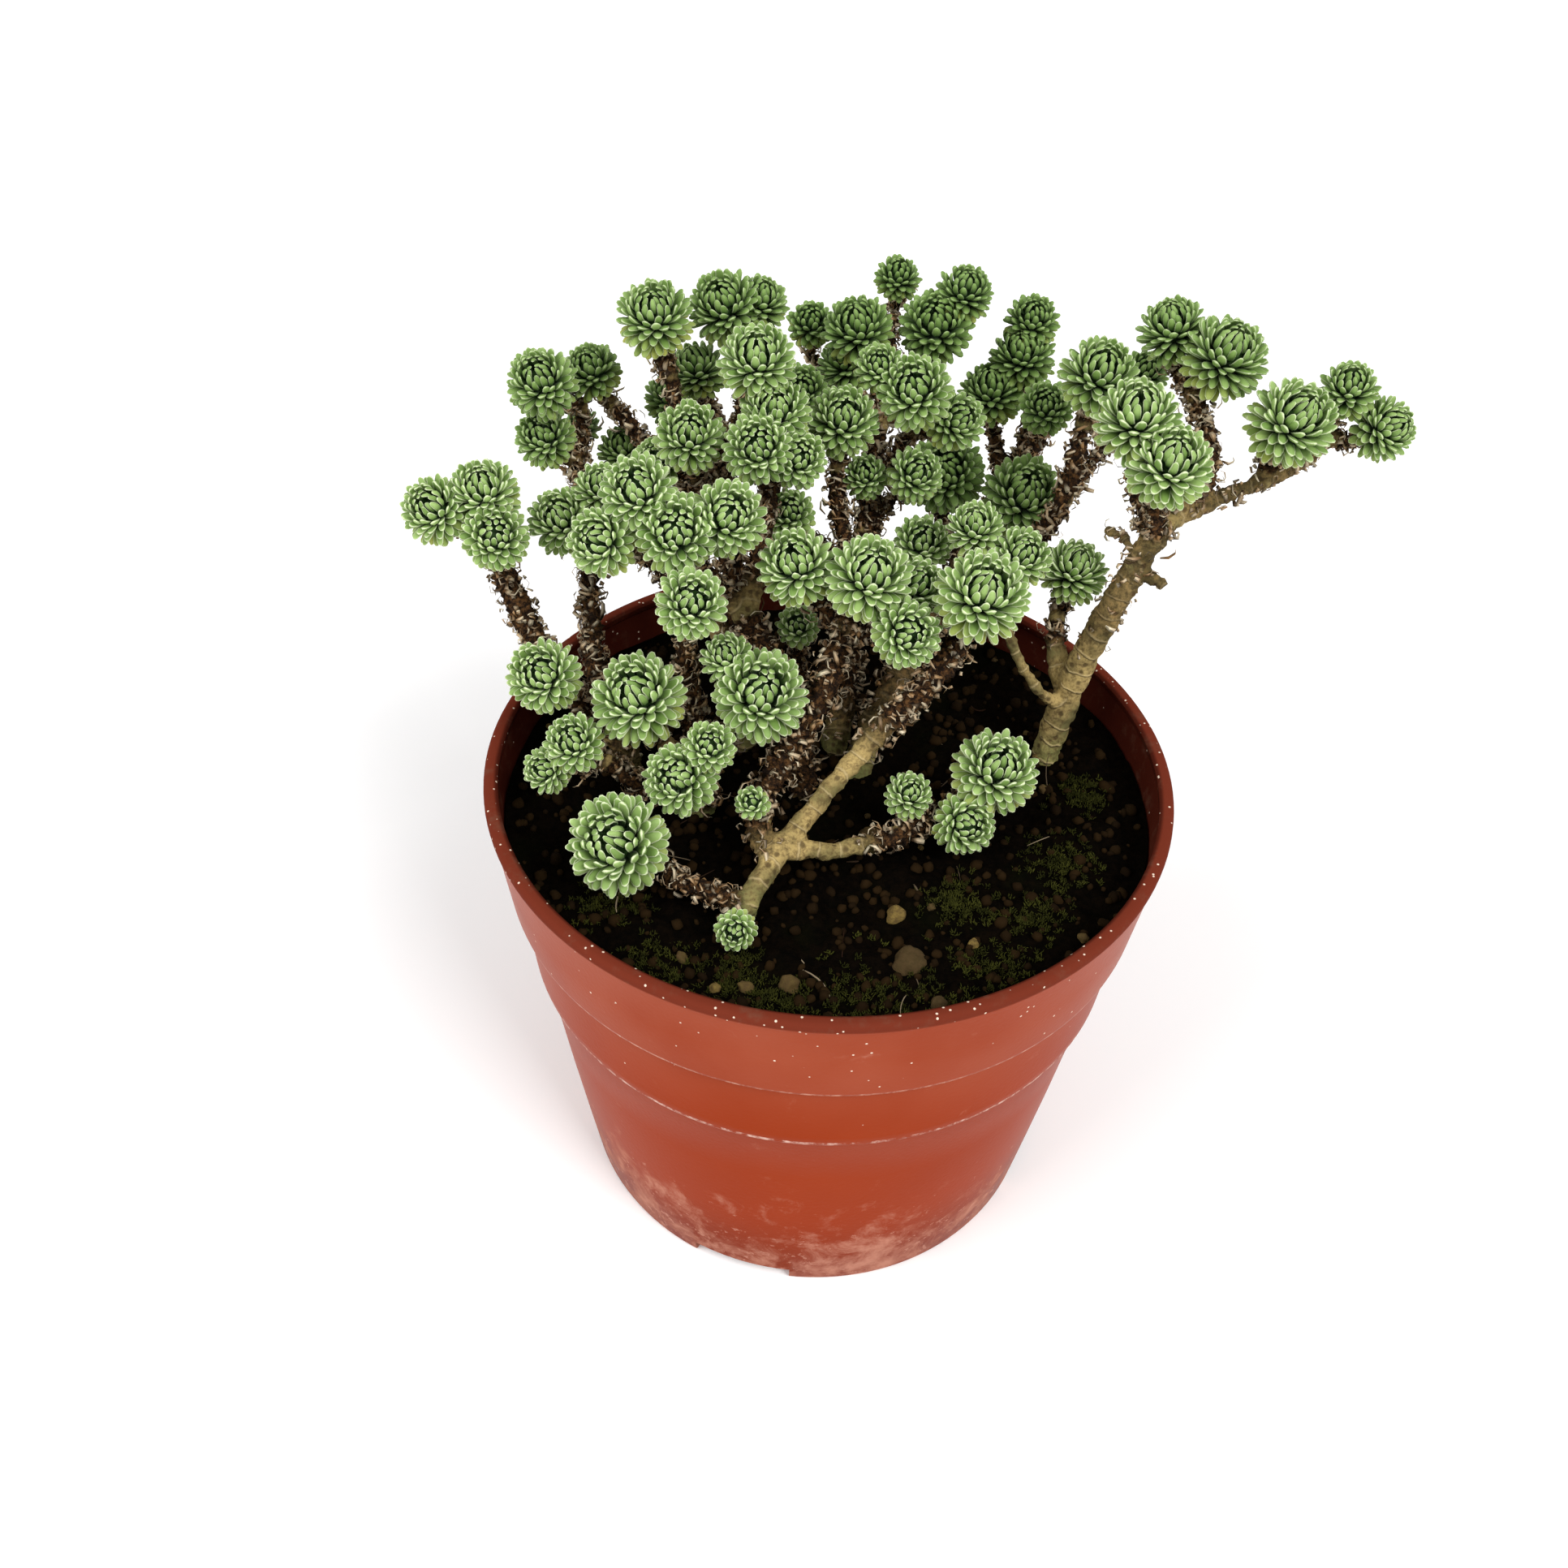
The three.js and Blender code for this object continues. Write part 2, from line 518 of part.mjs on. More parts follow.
function makePot() {
  let pot = solidOf(turned([[0, 0], ...OUTSIDE, ...INSIDE, [0, FLOOR]], POT_SIDES));
  const roofWidth = CHANNEL_WIDTH_DEG + 2 * CHANNEL_ROOF_MARGIN_DEG;
  const roofTop = CHANNEL_HEIGHT + FLOOR;
  const roofInner = CHANNEL_INNER_RADIUS - WALL;
  const outer = BASE_RADIUS + CUT_MARGIN;
  for (const angle of channelAngles()) {
    pot = pot.add(ringBlock(roofInner, BASE_RADIUS - ROOF_INSET, FLOOR / 2, roofTop, angle, roofWidth));
  }
  for (const angle of channelAngles()) {
    const channel = ringBlock(
      CHANNEL_INNER_RADIUS, outer, -CUT_MARGIN, CHANNEL_HEIGHT, angle, CHANNEL_WIDTH_DEG,
    );
    const turn = THREE.MathUtils.degToRad(angle);
    const x = DRAIN_AT_RADIUS * Math.cos(turn);
    const y = DRAIN_AT_RADIUS * Math.sin(turn);
    const drain = uprightCylinder(x, y, DRAIN_RADIUS, FLOOR, roofTop + CUT_MARGIN, DRAIN_SIDES);
    pot = pot.subtract(channel).subtract(drain);
  }
  return pot;
}

// The soil's top: a polar grid with a low seeded relief, calm at the wall.
function soilTop(random) {
  const rings = [];
  const edge = RIM_RADIUS - WALL - SOIL_GAP - SOIL_TOP_INSET;
  for (let ring = 1; ring < SOIL_RINGS; ring++) {
    const radius = (edge * ring) / SOIL_RINGS;
    rings.push({ radius, lift: () => SOIL_RELIEF * (2 * random() - 1) });
  }
  rings.push({ radius: edge, lift: () => SOIL_EDGE_RELIEF * (random() - 1) });
  return rings;
}

function makeSoil() {
  const random = randomFrom(SOIL_SEED);
  const points = [];
  const triangles = [];
  const inner = INSIDE.slice(COLLAR_INSIDE).map(([r, z]) => [r - SOIL_GAP, z]);
  inner[inner.length - 1][1] += CLEARANCE;
  const bands = soilTop(random).map((ring) => ({ ...ring, height: SOIL_LEVEL }));
  for (const [radius, height] of inner) bands.push({ radius, height, lift: () => 0 });
  points.push(new THREE.Vector3(0, 0, SOIL_LEVEL + SOIL_MIDDLE_LIFT));
  for (const band of bands) {
    for (let side = 0; side < SOIL_SIDES; side++) {
      const turn = (2 * Math.PI * side) / SOIL_SIDES;
      const z = band.height + band.lift();
      points.push(new THREE.Vector3(band.radius * Math.cos(turn), band.radius * Math.sin(turn), z));
    }
  }
  points.push(new THREE.Vector3(0, 0, FLOOR + CLEARANCE));
  const last = points.length - 1;
  const at = (band, side) => 1 + band * SOIL_SIDES + (side % SOIL_SIDES);
  for (let side = 0; side < SOIL_SIDES; side++) {
    triangles.push(0, at(0, side), at(0, side + 1));
    triangles.push(last, at(bands.length - 1, side + 1), at(bands.length - 1, side));
    for (let band = 0; band < bands.length - 1; band++) {
      triangles.push(at(band, side), at(band + 1, side), at(band + 1, side + 1));
      triangles.push(at(band, side), at(band + 1, side + 1), at(band, side + 1));
    }
  }
  let soil = solidOf(geometryOf(points, triangles));
  const roofWidth = CHANNEL_WIDTH_DEG + 2 * CHANNEL_ROOF_MARGIN_DEG + CLEARANCE_DEG;
  const roofTop = CHANNEL_HEIGHT + FLOOR + CLEARANCE;
  const roofInner = CHANNEL_INNER_RADIUS - WALL - CLEARANCE;
  for (const angle of channelAngles()) {
    soil = soil.subtract(ringBlock(roofInner, RIM_RADIUS, 0, roofTop, angle, roofWidth));
  }
  for (const { limbs } of TRUNKS) {
    const [x, y, , r] = limbs[0][0];
    const [x2, y2, , r2] = limbs[0][1];
    const reach = Math.max(r, r2) + Math.hypot(x2 - x, y2 - y) / 2 + HOLE_MARGIN;
    const low = SOIL_LEVEL - HOLE_DEPTH;
    soil = soil.subtract(uprightCylinder((x + x2) / 2, (y + y2) / 2, reach, low, POT_HEIGHT, HOLE_SIDES));
  }
  return soil;
}

// A limb through [x, y, z, radius] points, with rings square to its run and a seeded uneven girth.
function limbSolid(points, sides, random, unevenness) {
  const places = points.map(([x, y, z]) => new THREE.Vector3(x, y, z));
  const vertices = [];
  const triangles = [];
  let side = RING_START;
  places.forEach((place, i) => {
    const before = places[Math.max(0, i - 1)];
    const after = places[Math.min(places.length - 1, i + 1)];
    const along = after.clone().sub(before).normalize();
    side = side.clone().addScaledVector(along, -side.dot(along)).normalize();
    const across = along.clone().cross(side);
    for (let k = 0; k < sides; k++) {
      const turn = (2 * Math.PI * k) / sides;
      const girth = points[i][3] * (1 + unevenness * (2 * random() - 1));
      vertices.push(
        place
          .clone()
          .addScaledVector(side, girth * Math.cos(turn))
          .addScaledVector(across, girth * Math.sin(turn)),
      );
    }
  });
  const at = (ring, k) => ring * sides + (k % sides);
  for (let ring = 0; ring < places.length - 1; ring++) {
    for (let k = 0; k < sides; k++) {
      triangles.push(at(ring, k), at(ring, k + 1), at(ring + 1, k + 1));
      triangles.push(at(ring, k), at(ring + 1, k + 1), at(ring + 1, k));
    }
  }
  for (let k = 1; k < sides - 1; k++) {
    triangles.push(at(0, 0), at(0, k + 1), at(0, k));
    triangles.push(at(places.length - 1, 0), at(places.length - 1, k), at(places.length - 1, k + 1));
  }
  return solidOf(geometryOf(vertices, triangles));
}

// A head's axis: between the way it grows from its foot and the common lean up and to the light.
function headAxis(foot, [x, y, z]) {
  const grown = new THREE.Vector3(x, y, z).sub(new THREE.Vector3(...foot)).normalize();
  return LEAN.clone().multiplyScalar(1 - FOOT_WEIGHT).addScaledVector(grown, FOOT_WEIGHT).normalize();
}

function leafCount(radius) {
  return LEAVES_BY_RADIUS.find(([least]) => radius >= least)[1];
}

// Directions of a head's leaves: a golden spiral from the bud down the sides, and the underside last.
function leafDirections(axis, count, turnBy) {
  const spin = new THREE.Quaternion().setFromUnitVectors(new THREE.Vector3(0, 0, 1), axis);
  const golden = Math.PI * (3 - Math.sqrt(5));
  return Array.from({ length: count }, (_, i) => {
    const height = i === count - 1 ? -1 : 1 - ((1 - LOWEST_LEAF) * i) / (count - 2);
    const flat = Math.sqrt(Math.max(0, 1 - height * height));
    const turn = golden * i + turnBy;
    return new THREE.Vector3(flat * Math.cos(turn), flat * Math.sin(turn), height).applyQuaternion(spin);
  });
}

// One rosette: a pointed leaf on each direction, with the valleys between leaves on a smaller core.
function rosette([x, y, z, radius], axis, random) {
  const centre = new THREE.Vector3(x, y, z);
  const directions = leafDirections(axis, leafCount(radius), 2 * Math.PI * random());
  const last = directions.length - 1;
  const vertices = directions.map((direction, i) => {
    const reach = i === last ? UNDERSIDE_SHARE : TIP_REACH - TIP_SPREAD * random();
    return centre.clone().addScaledVector(direction, radius * reach);
  });
  const number = new Map(directions.map((direction, i) => [direction, i]));
  const triangles = [];
  const hull = new ConvexHull().setFromPoints(directions);
  const valleyOf = new Map();
  for (const face of hull.faces) {
    const corners = [face.edge.tail().point, face.edge.head().point, face.edge.next.head().point];
    const middle = corners.reduce((sum, corner) => sum.add(corner), new THREE.Vector3()).normalize();
    valleyOf.set(face, vertices.length);
    vertices.push(centre.clone().addScaledVector(middle, radius * VALLEY_SHARE));
  }
  for (const face of hull.faces) {
    let edge = face.edge;
    do {
      const tip = number.get(edge.tail().point);
      triangles.push(tip, valleyOf.get(edge.twin.face), valleyOf.get(face));
      edge = edge.next;
    } while (edge !== face.edge);
  }
  return solidOf(geometryOf(vertices, triangles));
}

function centreOf([x, y, z]) {
  return new THREE.Vector3(x, y, z);
}

// A head that grows from its own limb gives that limb's end as its fifth value.
function footOf(clump, head) {
  return head[4] ?? clump.foot;
}

// A clump: its rosettes, joined by short necks where two only just meet.
function makeClump(clump, random) {
  const { heads } = clump;
  const solids = heads.map((head) => rosette(head, headAxis(footOf(clump, head), head), random));
  for (let i = 1; i < heads.length; i++) {
    const [x1, y1, z1, r1] = heads[i - 1];
    const [x2, y2, z2, r2] = heads[i];
    if (centreOf(heads[i - 1]).distanceTo(centreOf(heads[i])) < NECK_FROM * (r1 + r2)) continue;
    const neck = NECK_SHARE * Math.min(r1, r2);
    solids.push(limbSolid([[x1, y1, z1, neck], [x2, y2, z2, neck]], STEM_SIDES, random, 0));
  }
  return joined(clump.name, solids);
}

// The last two [x, y, z, radius] points of the shoot from a foot to the underside of a head.
function shootEnd(foot, head) {
  const axis = headAxis(foot, head);
  const girth = Math.min(SHOOT_MOST, SHOOT_SHARE * head[3]);
  const end = centreOf(head).addScaledVector(axis, -(UNDERSIDE_SHARE * head[3] + SHOOT_GAP));
  const rise = Math.min(BEND_MOST, BEND_SHARE * end.distanceTo(centreOf(foot)));
  const bend = end.clone().addScaledVector(axis, -rise);
  return [
    [bend.x, bend.y, bend.z, girth * SHOOT_SWELL],
    [end.x, end.y, end.z, girth * SHOOT_TAPER],
  ];
}

// The shoots of a trunk. A head whose underside lies in another head of its clump shares that one's shoot.
function shootsOf(trunk) {
  const shoots = [];
  for (const clump of CLUMPS.filter((c) => c.trunk === trunk)) {
    for (const head of clump.heads) {
      const foot = footOf(clump, head);
      const ending = shootEnd(foot, head);
      const [, end] = ending;
      const inside = (other) => centreOf(other).distanceTo(centreOf(end)) < other[3] + end[3];
      if (clump.heads.some((other) => other !== head && inside(other))) continue;
      shoots.push({ foot, ending });
    }
  }
  return shoots;
}

// A trunk with its limbs and shoots. The first shoot at a limb's tip carries the limb on.
function makeTrunk({ name, limbs }, random) {
  const shoots = shootsOf(name);
  const solids = limbs.map((points, i) => {
    const tip = points[points.length - 1];
    const next = shoots.findIndex(({ foot }) => centreOf(foot).distanceTo(centreOf(tip)) === 0);
    const ending = next < 0 ? [] : shoots.splice(next, 1)[0].ending;
    const sides = i === 0 ? TRUNK_SIDES : STEM_SIDES;
    return limbSolid([...points, ...ending], sides, random, i === 0 ? SHAG / 2 : SHAG);
  });
  for (const { foot, ending } of shoots) {
    solids.push(limbSolid([[...foot, ending[0][3]], ...ending], SHOOT_SIDES, random, SHAG));
  }
  return joined(name, solids);
}

const plant = new THREE.Group();
plant.add(meshOf("pot", makePot(), PLASTIC));
plant.add(meshOf("soil", makeSoil(), DAMP_SOIL));
TRUNKS.forEach((trunk, i) => {
  plant.add(meshOf(trunk.name, makeTrunk(trunk, randomFrom(TRUNK_SEED + i)), BARK));
});
CLUMPS.forEach((clump, i) => {
  plant.add(meshOf(clump.name, makeClump(clump, randomFrom(CLUMP_SEED + i)), LEAF));
});

export default plant;
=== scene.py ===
"""Potted Sedum multiceps: the finished look of its rosettes, stems, soil and nursery pot."""

import math

import bpy
import numpy as np
from mathutils import Matrix, Vector, noise
from mathutils.kdtree import KDTree


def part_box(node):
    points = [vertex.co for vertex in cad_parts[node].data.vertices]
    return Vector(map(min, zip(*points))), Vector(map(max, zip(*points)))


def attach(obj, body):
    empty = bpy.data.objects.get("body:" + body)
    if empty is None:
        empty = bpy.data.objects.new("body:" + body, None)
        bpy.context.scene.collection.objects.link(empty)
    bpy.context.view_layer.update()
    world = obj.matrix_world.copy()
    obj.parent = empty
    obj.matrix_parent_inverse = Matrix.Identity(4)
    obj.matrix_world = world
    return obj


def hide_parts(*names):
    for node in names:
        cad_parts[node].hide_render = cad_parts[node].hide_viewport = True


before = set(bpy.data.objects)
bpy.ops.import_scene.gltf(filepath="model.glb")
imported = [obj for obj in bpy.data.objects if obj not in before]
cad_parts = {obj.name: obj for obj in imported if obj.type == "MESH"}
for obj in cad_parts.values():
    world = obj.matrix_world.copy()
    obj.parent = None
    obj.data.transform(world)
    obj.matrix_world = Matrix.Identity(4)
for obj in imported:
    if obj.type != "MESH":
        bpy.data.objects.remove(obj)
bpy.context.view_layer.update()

bl_info = {
    "name": "Potted Sedum multiceps",
    "version": (1, 0, 0),
    "blender": (4, 5, 0),
    "location": "View3D > Sidebar > Plant",
    "description": "Builds the rosettes, stems, soil and pot of a small potted succulent",
    "category": "Object",
}

MM = 0.001

# Radii and heights of the pot's turns, in metres.
POT_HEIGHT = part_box("pot")[1][2]
RIM_RADIUS = 52.5 * MM
RIM_INNER = 50.3 * MM
COLLAR_RADIUS = 50.2 * MM
COLLAR_HEIGHT = 64.5 * MM
RIDGE_RADIUS = 46.5 * MM
RIDGE_HEIGHT = 48.5 * MM
BASE_RADIUS = 40 * MM
POT_CREASE = math.radians(38)

# Drainage channels in the base edge: how many, where the first is centred and how wide each is.
CHANNELS = 4
CHANNEL_FIRST = math.radians(-104)
CHANNEL_WIDTH = math.radians(24)
CHANNEL_HEIGHT = 3 * MM
CHANNEL_INNER = 27 * MM
ROOF_OVERLAP = math.radians(5)
ARC_STEPS = 8

# The round drain hole behind each channel.
DRAIN_AT = 33.5 * MM
DRAIN_RADIUS = 4.5 * MM
DRAIN_DEPTH = 6 * MM
DRAIN_SIDES = 32

# The soil's mean level, its radius there, and the band along the wall where it lies calmer.
SOIL_LEVEL = 74.6 * MM
SOIL_RADIUS = 49.8 * MM
SOIL_CREASE = math.radians(50)
CALM_BAND = 4 * MM
CALM_SHARE = 0.45

# The soil's clods and crumbs: their size in mm, the shift of their noise, and their height in mm.
SOIL_WAVES = ((11, (0, 0, 0), 1.5), (4, (7, 3, 1), 0.9), (1.6, (1, 8, 2), 0.55))

# Limbs of each trunk: the share of the limb that is bare bark, then its [x, y, z, radius] points in mm.
TRUNKS = {
    "trunk_front": [
        (1.0, [[-11.5, -29, 69, 2], [-11, -28, 75, 1.9], [-10, -26.2, 78, 1.7], [-7.5, -21.5, 80, 1.9],
               [-5, -17.5, 81.5, 1.8]]),
        (0.42, [[-5, -17.5, 81.5, 1.6], [3, -9, 89, 1.6], [9, -5, 95, 2.1], [15, -1, 101, 2.2],
                [18.5, 4.5, 105, 1.9]]),
        (0.4, [[-6, -19, 81, 1.6], [1, -17.5, 79.5, 1.4], [8, -14.5, 79, 1.6], [14, -11, 79.5, 1.8],
               [18, -7, 79.5, 1.7]]),
        (0.0, [[-7, -20.5, 80, 2.1], [-10, -16, 83.5, 2.1], [-7, -9.5, 89, 2.2], [-2, -2, 95.5, 2.4],
                [1, 6.5, 102, 2]]),
        (0.0, [[-10.5, -27, 76.8, 1.8], [-15, -27, 78.4, 1.7], [-21, -24.5, 79, 1.6],
               [-25.5, -20.5, 78.8, 1.5]]),
    ],
    "trunk_right": [
        (0.5, [[34, 12, 69, 2.3], [35, 13, 75, 2.3], [37, 15, 86, 2.5], [40, 16, 97, 2.3],
               [44, 18, 108, 2.2], [48, 21, 114.5, 2]], 0.3),
        (0.0, [[48, 21, 114.5, 1.6], [55, 25, 116, 1.3], [63, 30, 117, 1.3], [70, 34.5, 118.5, 1.2],
               [74, 38, 120.5, 1.2]], 0.35),
        (0.0, [[50, 22.5, 115, 1.8], [54, 27.5, 119.5, 1.7], [53.5, 33.5, 123, 1.6], [52.5, 39, 125, 1.5]]),
        (0.6, [[37, 15, 85, 1.9], [35, 18, 90, 1.8], [34.5, 22, 95, 1.6]]),
        (0.75, [[36.5, 14, 83.5, 1.1], [31.5, 12, 89, 0.9], [27, 13, 96, 0.9], [24.5, 20, 101.5, 1.2]]),
        (0.0, [[44, 18, 108, 0.8], [43, 23, 109.5, 0.7], [41, 29, 107.5, 0.6]], 0.15),
        (0.0, [[44.2, 17.8, 107.5, 1.2], [46.5, 16.2, 107.8, 1], [48.3, 15, 107.1, 0.8]], 0.3),
    ],
    "trunk_front_left": [
        (0.2, [[-19.5, -5.5, 69, 2.3], [-19, -5, 75, 2.3], [-20, -2.5, 86, 2], [-22, 1, 96, 1.8],
               [-22, 2, 104, 1.6]]),
        (0.0, [[-19.2, -4.5, 79, 1.7], [-16, -1.5, 86, 1.5], [-13, -0.5, 91.5, 1.5]]),
        (0.0, [[-19.2, -5, 76.8, 1.7], [-17.5, -7.5, 80.5, 1.6], [-17.5, -9.5, 84.5, 1.5]]),
        (0.7, [[-19.6, -4, 80, 1.7], [-24, -3, 84.5, 1.6], [-26.5, -2.5, 88, 1.5]]),
        (0.3, [[-19.4, -5, 77, 1.6], [-26, -8.5, 81, 1.6], [-33, -7.5, 85.5, 1.5]]),
    ],
    "trunk_left": [
        (0.15, [[-30.5, 2, 69, 2.3], [-31, 2, 75, 2.3], [-34, 5, 82, 2], [-37, 10, 89, 1.8],
                [-38.5, 16, 96, 1.7], [-39.5, 23, 101, 1.6]]),
        (0.05, [[-33, 4, 80, 1.9], [-39, 7, 84.5, 2], [-44.5, 9.5, 90, 2], [-50, 14.5, 98.5, 2.2],
                [-53.5, 20.5, 105.5, 2]]),
        (0.0, [[-34, 4.5, 81, 1.6], [-37, 3, 86, 1.5], [-40, 2, 90, 1.4]]),
    ],
    "trunk_centre": [
        (0.0, [[-4, 1.5, 69, 2.8], [-4.2, 2.2, 75, 2.7], [-6, 5, 84, 2.6], [-10, 9, 92, 2.5],
               [-14, 13, 99, 2.2]]),
        (0.1, [[-14, 13, 99, 1.9], [-20, 15, 104, 1.8], [-25, 15.5, 109.5, 1.7]]),
        (0.1, [[-14, 13, 99, 1.9], [-12.5, 21, 106, 1.8], [-12, 29, 111.5, 1.7], [-12, 32, 114.5, 1.7]]),
        (0.2, [[-5.5, 5.5, 85, 1.5], [-5.5, 12, 88, 1.2], [-6, 16, 91.5, 1.1]]),
    ],
    "trunk_back_left": [
        (0.15, [[-14, 12, 69, 2.8], [-14, 13, 77, 2.6], [-15, 18, 88, 2.4], [-17, 25, 99, 2.2],
                [-20, 33, 109, 2], [-20.5, 39, 116, 1.8]]),
        (0.1, [[-15, 17.5, 87, 2], [-24, 22.5, 95, 1.8], [-33, 28, 101, 1.8], [-41, 35, 104.5, 1.7],
               [-44.5, 42, 106, 1.6]]),
        (0.0, [[-17.5, 26.5, 101, 1.7], [-25, 34, 107.5, 1.6], [-32, 40, 111.5, 1.5], [-38, 46, 114.5, 1.4]]),
        (0.0, [[-34, 29, 101.3, 1.5], [-36, 38, 100, 1.4], [-36.5, 46, 100.5, 1.3]]),
        (0.0, [[-18.5, 29, 104, 1.7], [-21.5, 30, 108, 1.6], [-23, 30, 112, 1.5]]),
        (0.0, [[-19, 31, 106.5, 1.4], [-25, 42, 107, 1.3], [-30, 52, 107.5, 1.2]]),
        (0.0, [[-20, 33, 109, 1.6], [-25, 34.5, 116, 1.5], [-28, 37.5, 124, 1.4]]),
        (0.0, [[-19.7, 32.5, 108.5, 1.6], [-17.5, 38.5, 115.5, 1.5], [-17, 44.5, 122.5, 1.4]]),
        (0.0, [[-44.5, 42, 106, 1.5], [-44, 46.5, 109.5, 1.4], [-43.5, 46.5, 114, 1.3]]),
    ],
    "trunk_back": [
        (0.1, [[1, 12, 69, 2.8], [1, 12.5, 76, 2.6], [2, 20, 87, 2.4], [3, 29, 97, 2.2],
               [4, 40, 105, 2], [4.5, 51, 111.5, 1.8]]),
        (0.0, [[3.5, 34, 101, 1.6], [6, 37, 104, 1.5]]),
        (0.0, [[4, 41, 105.5, 1.7], [8.5, 42, 112, 1.6], [9.5, 40.5, 117, 1.5]]),
        (0.0, [[3, 28, 96.5, 1.7], [-0.5, 30.5, 105, 1.6], [-1.5, 34, 112.5, 1.5]]),
        (0.0, [[3, 28.5, 97, 1.4], [-3, 32.5, 99, 1.3], [-8, 34, 101, 1.2]]),
        (0.0, [[4.5, 50, 111, 1.4], [-3, 51, 111, 1.3], [-7.5, 52, 112, 1.2]]),
        (0.0, [[4.5, 51, 111.5, 1.5], [5.5, 61, 116, 1.4], [6.5, 70, 120.5, 1.2]]),
        (0.0, [[4.5, 51, 111.5, 1.4], [-2, 60, 113, 1.3], [-7, 65.5, 115, 1.2]]),
        (0.0, [[4.5, 51, 111.5, 1.6], [11, 56, 114.5, 1.5], [13.5, 60, 117.5, 1.5]]),
    ],
    "trunk_back_right": [
        (0.1, [[4, 5, 69, 2.6], [4.5, 6, 76, 2.5], [9.5, 14, 86.5, 2.4], [15.5, 26, 90, 2.2],
               [19, 34, 92, 2.1], [22.5, 44, 95.5, 2], [27, 55, 99, 1.8]], 0.6),
        (0.0, [[15.5, 26, 89.5, 1.4], [13.5, 31, 92, 1.3], [12.5, 32, 97, 1.2]]),
        (0.0, [[20, 37, 93, 1.7], [17.5, 46, 93, 1.6], [16.5, 53, 95.5, 1.5]]),
        (0.0, [[22.5, 44, 95.5, 1.7], [27, 46.5, 96, 1.6], [29, 47, 98, 1.5]]),
        (0.1, [[19, 34, 92, 1.9], [26, 34, 96.5, 1.8], [32, 35, 102.5, 1.7], [35, 36.5, 110, 1.7],
               [36.5, 40, 119, 1.6]]),
        (0.0, [[34.5, 36, 108, 1.4], [40, 44, 111.5, 1.2], [45, 53, 116.5, 1.1]]),
        (0.0, [[27, 55, 99, 1.5], [31, 55, 106, 1.4], [32.5, 54, 110, 1.3]]),
        (0.0, [[27, 55, 99, 1.6], [30, 58.5, 104, 1.5], [31, 62, 109, 1.4]]),
    ],
}

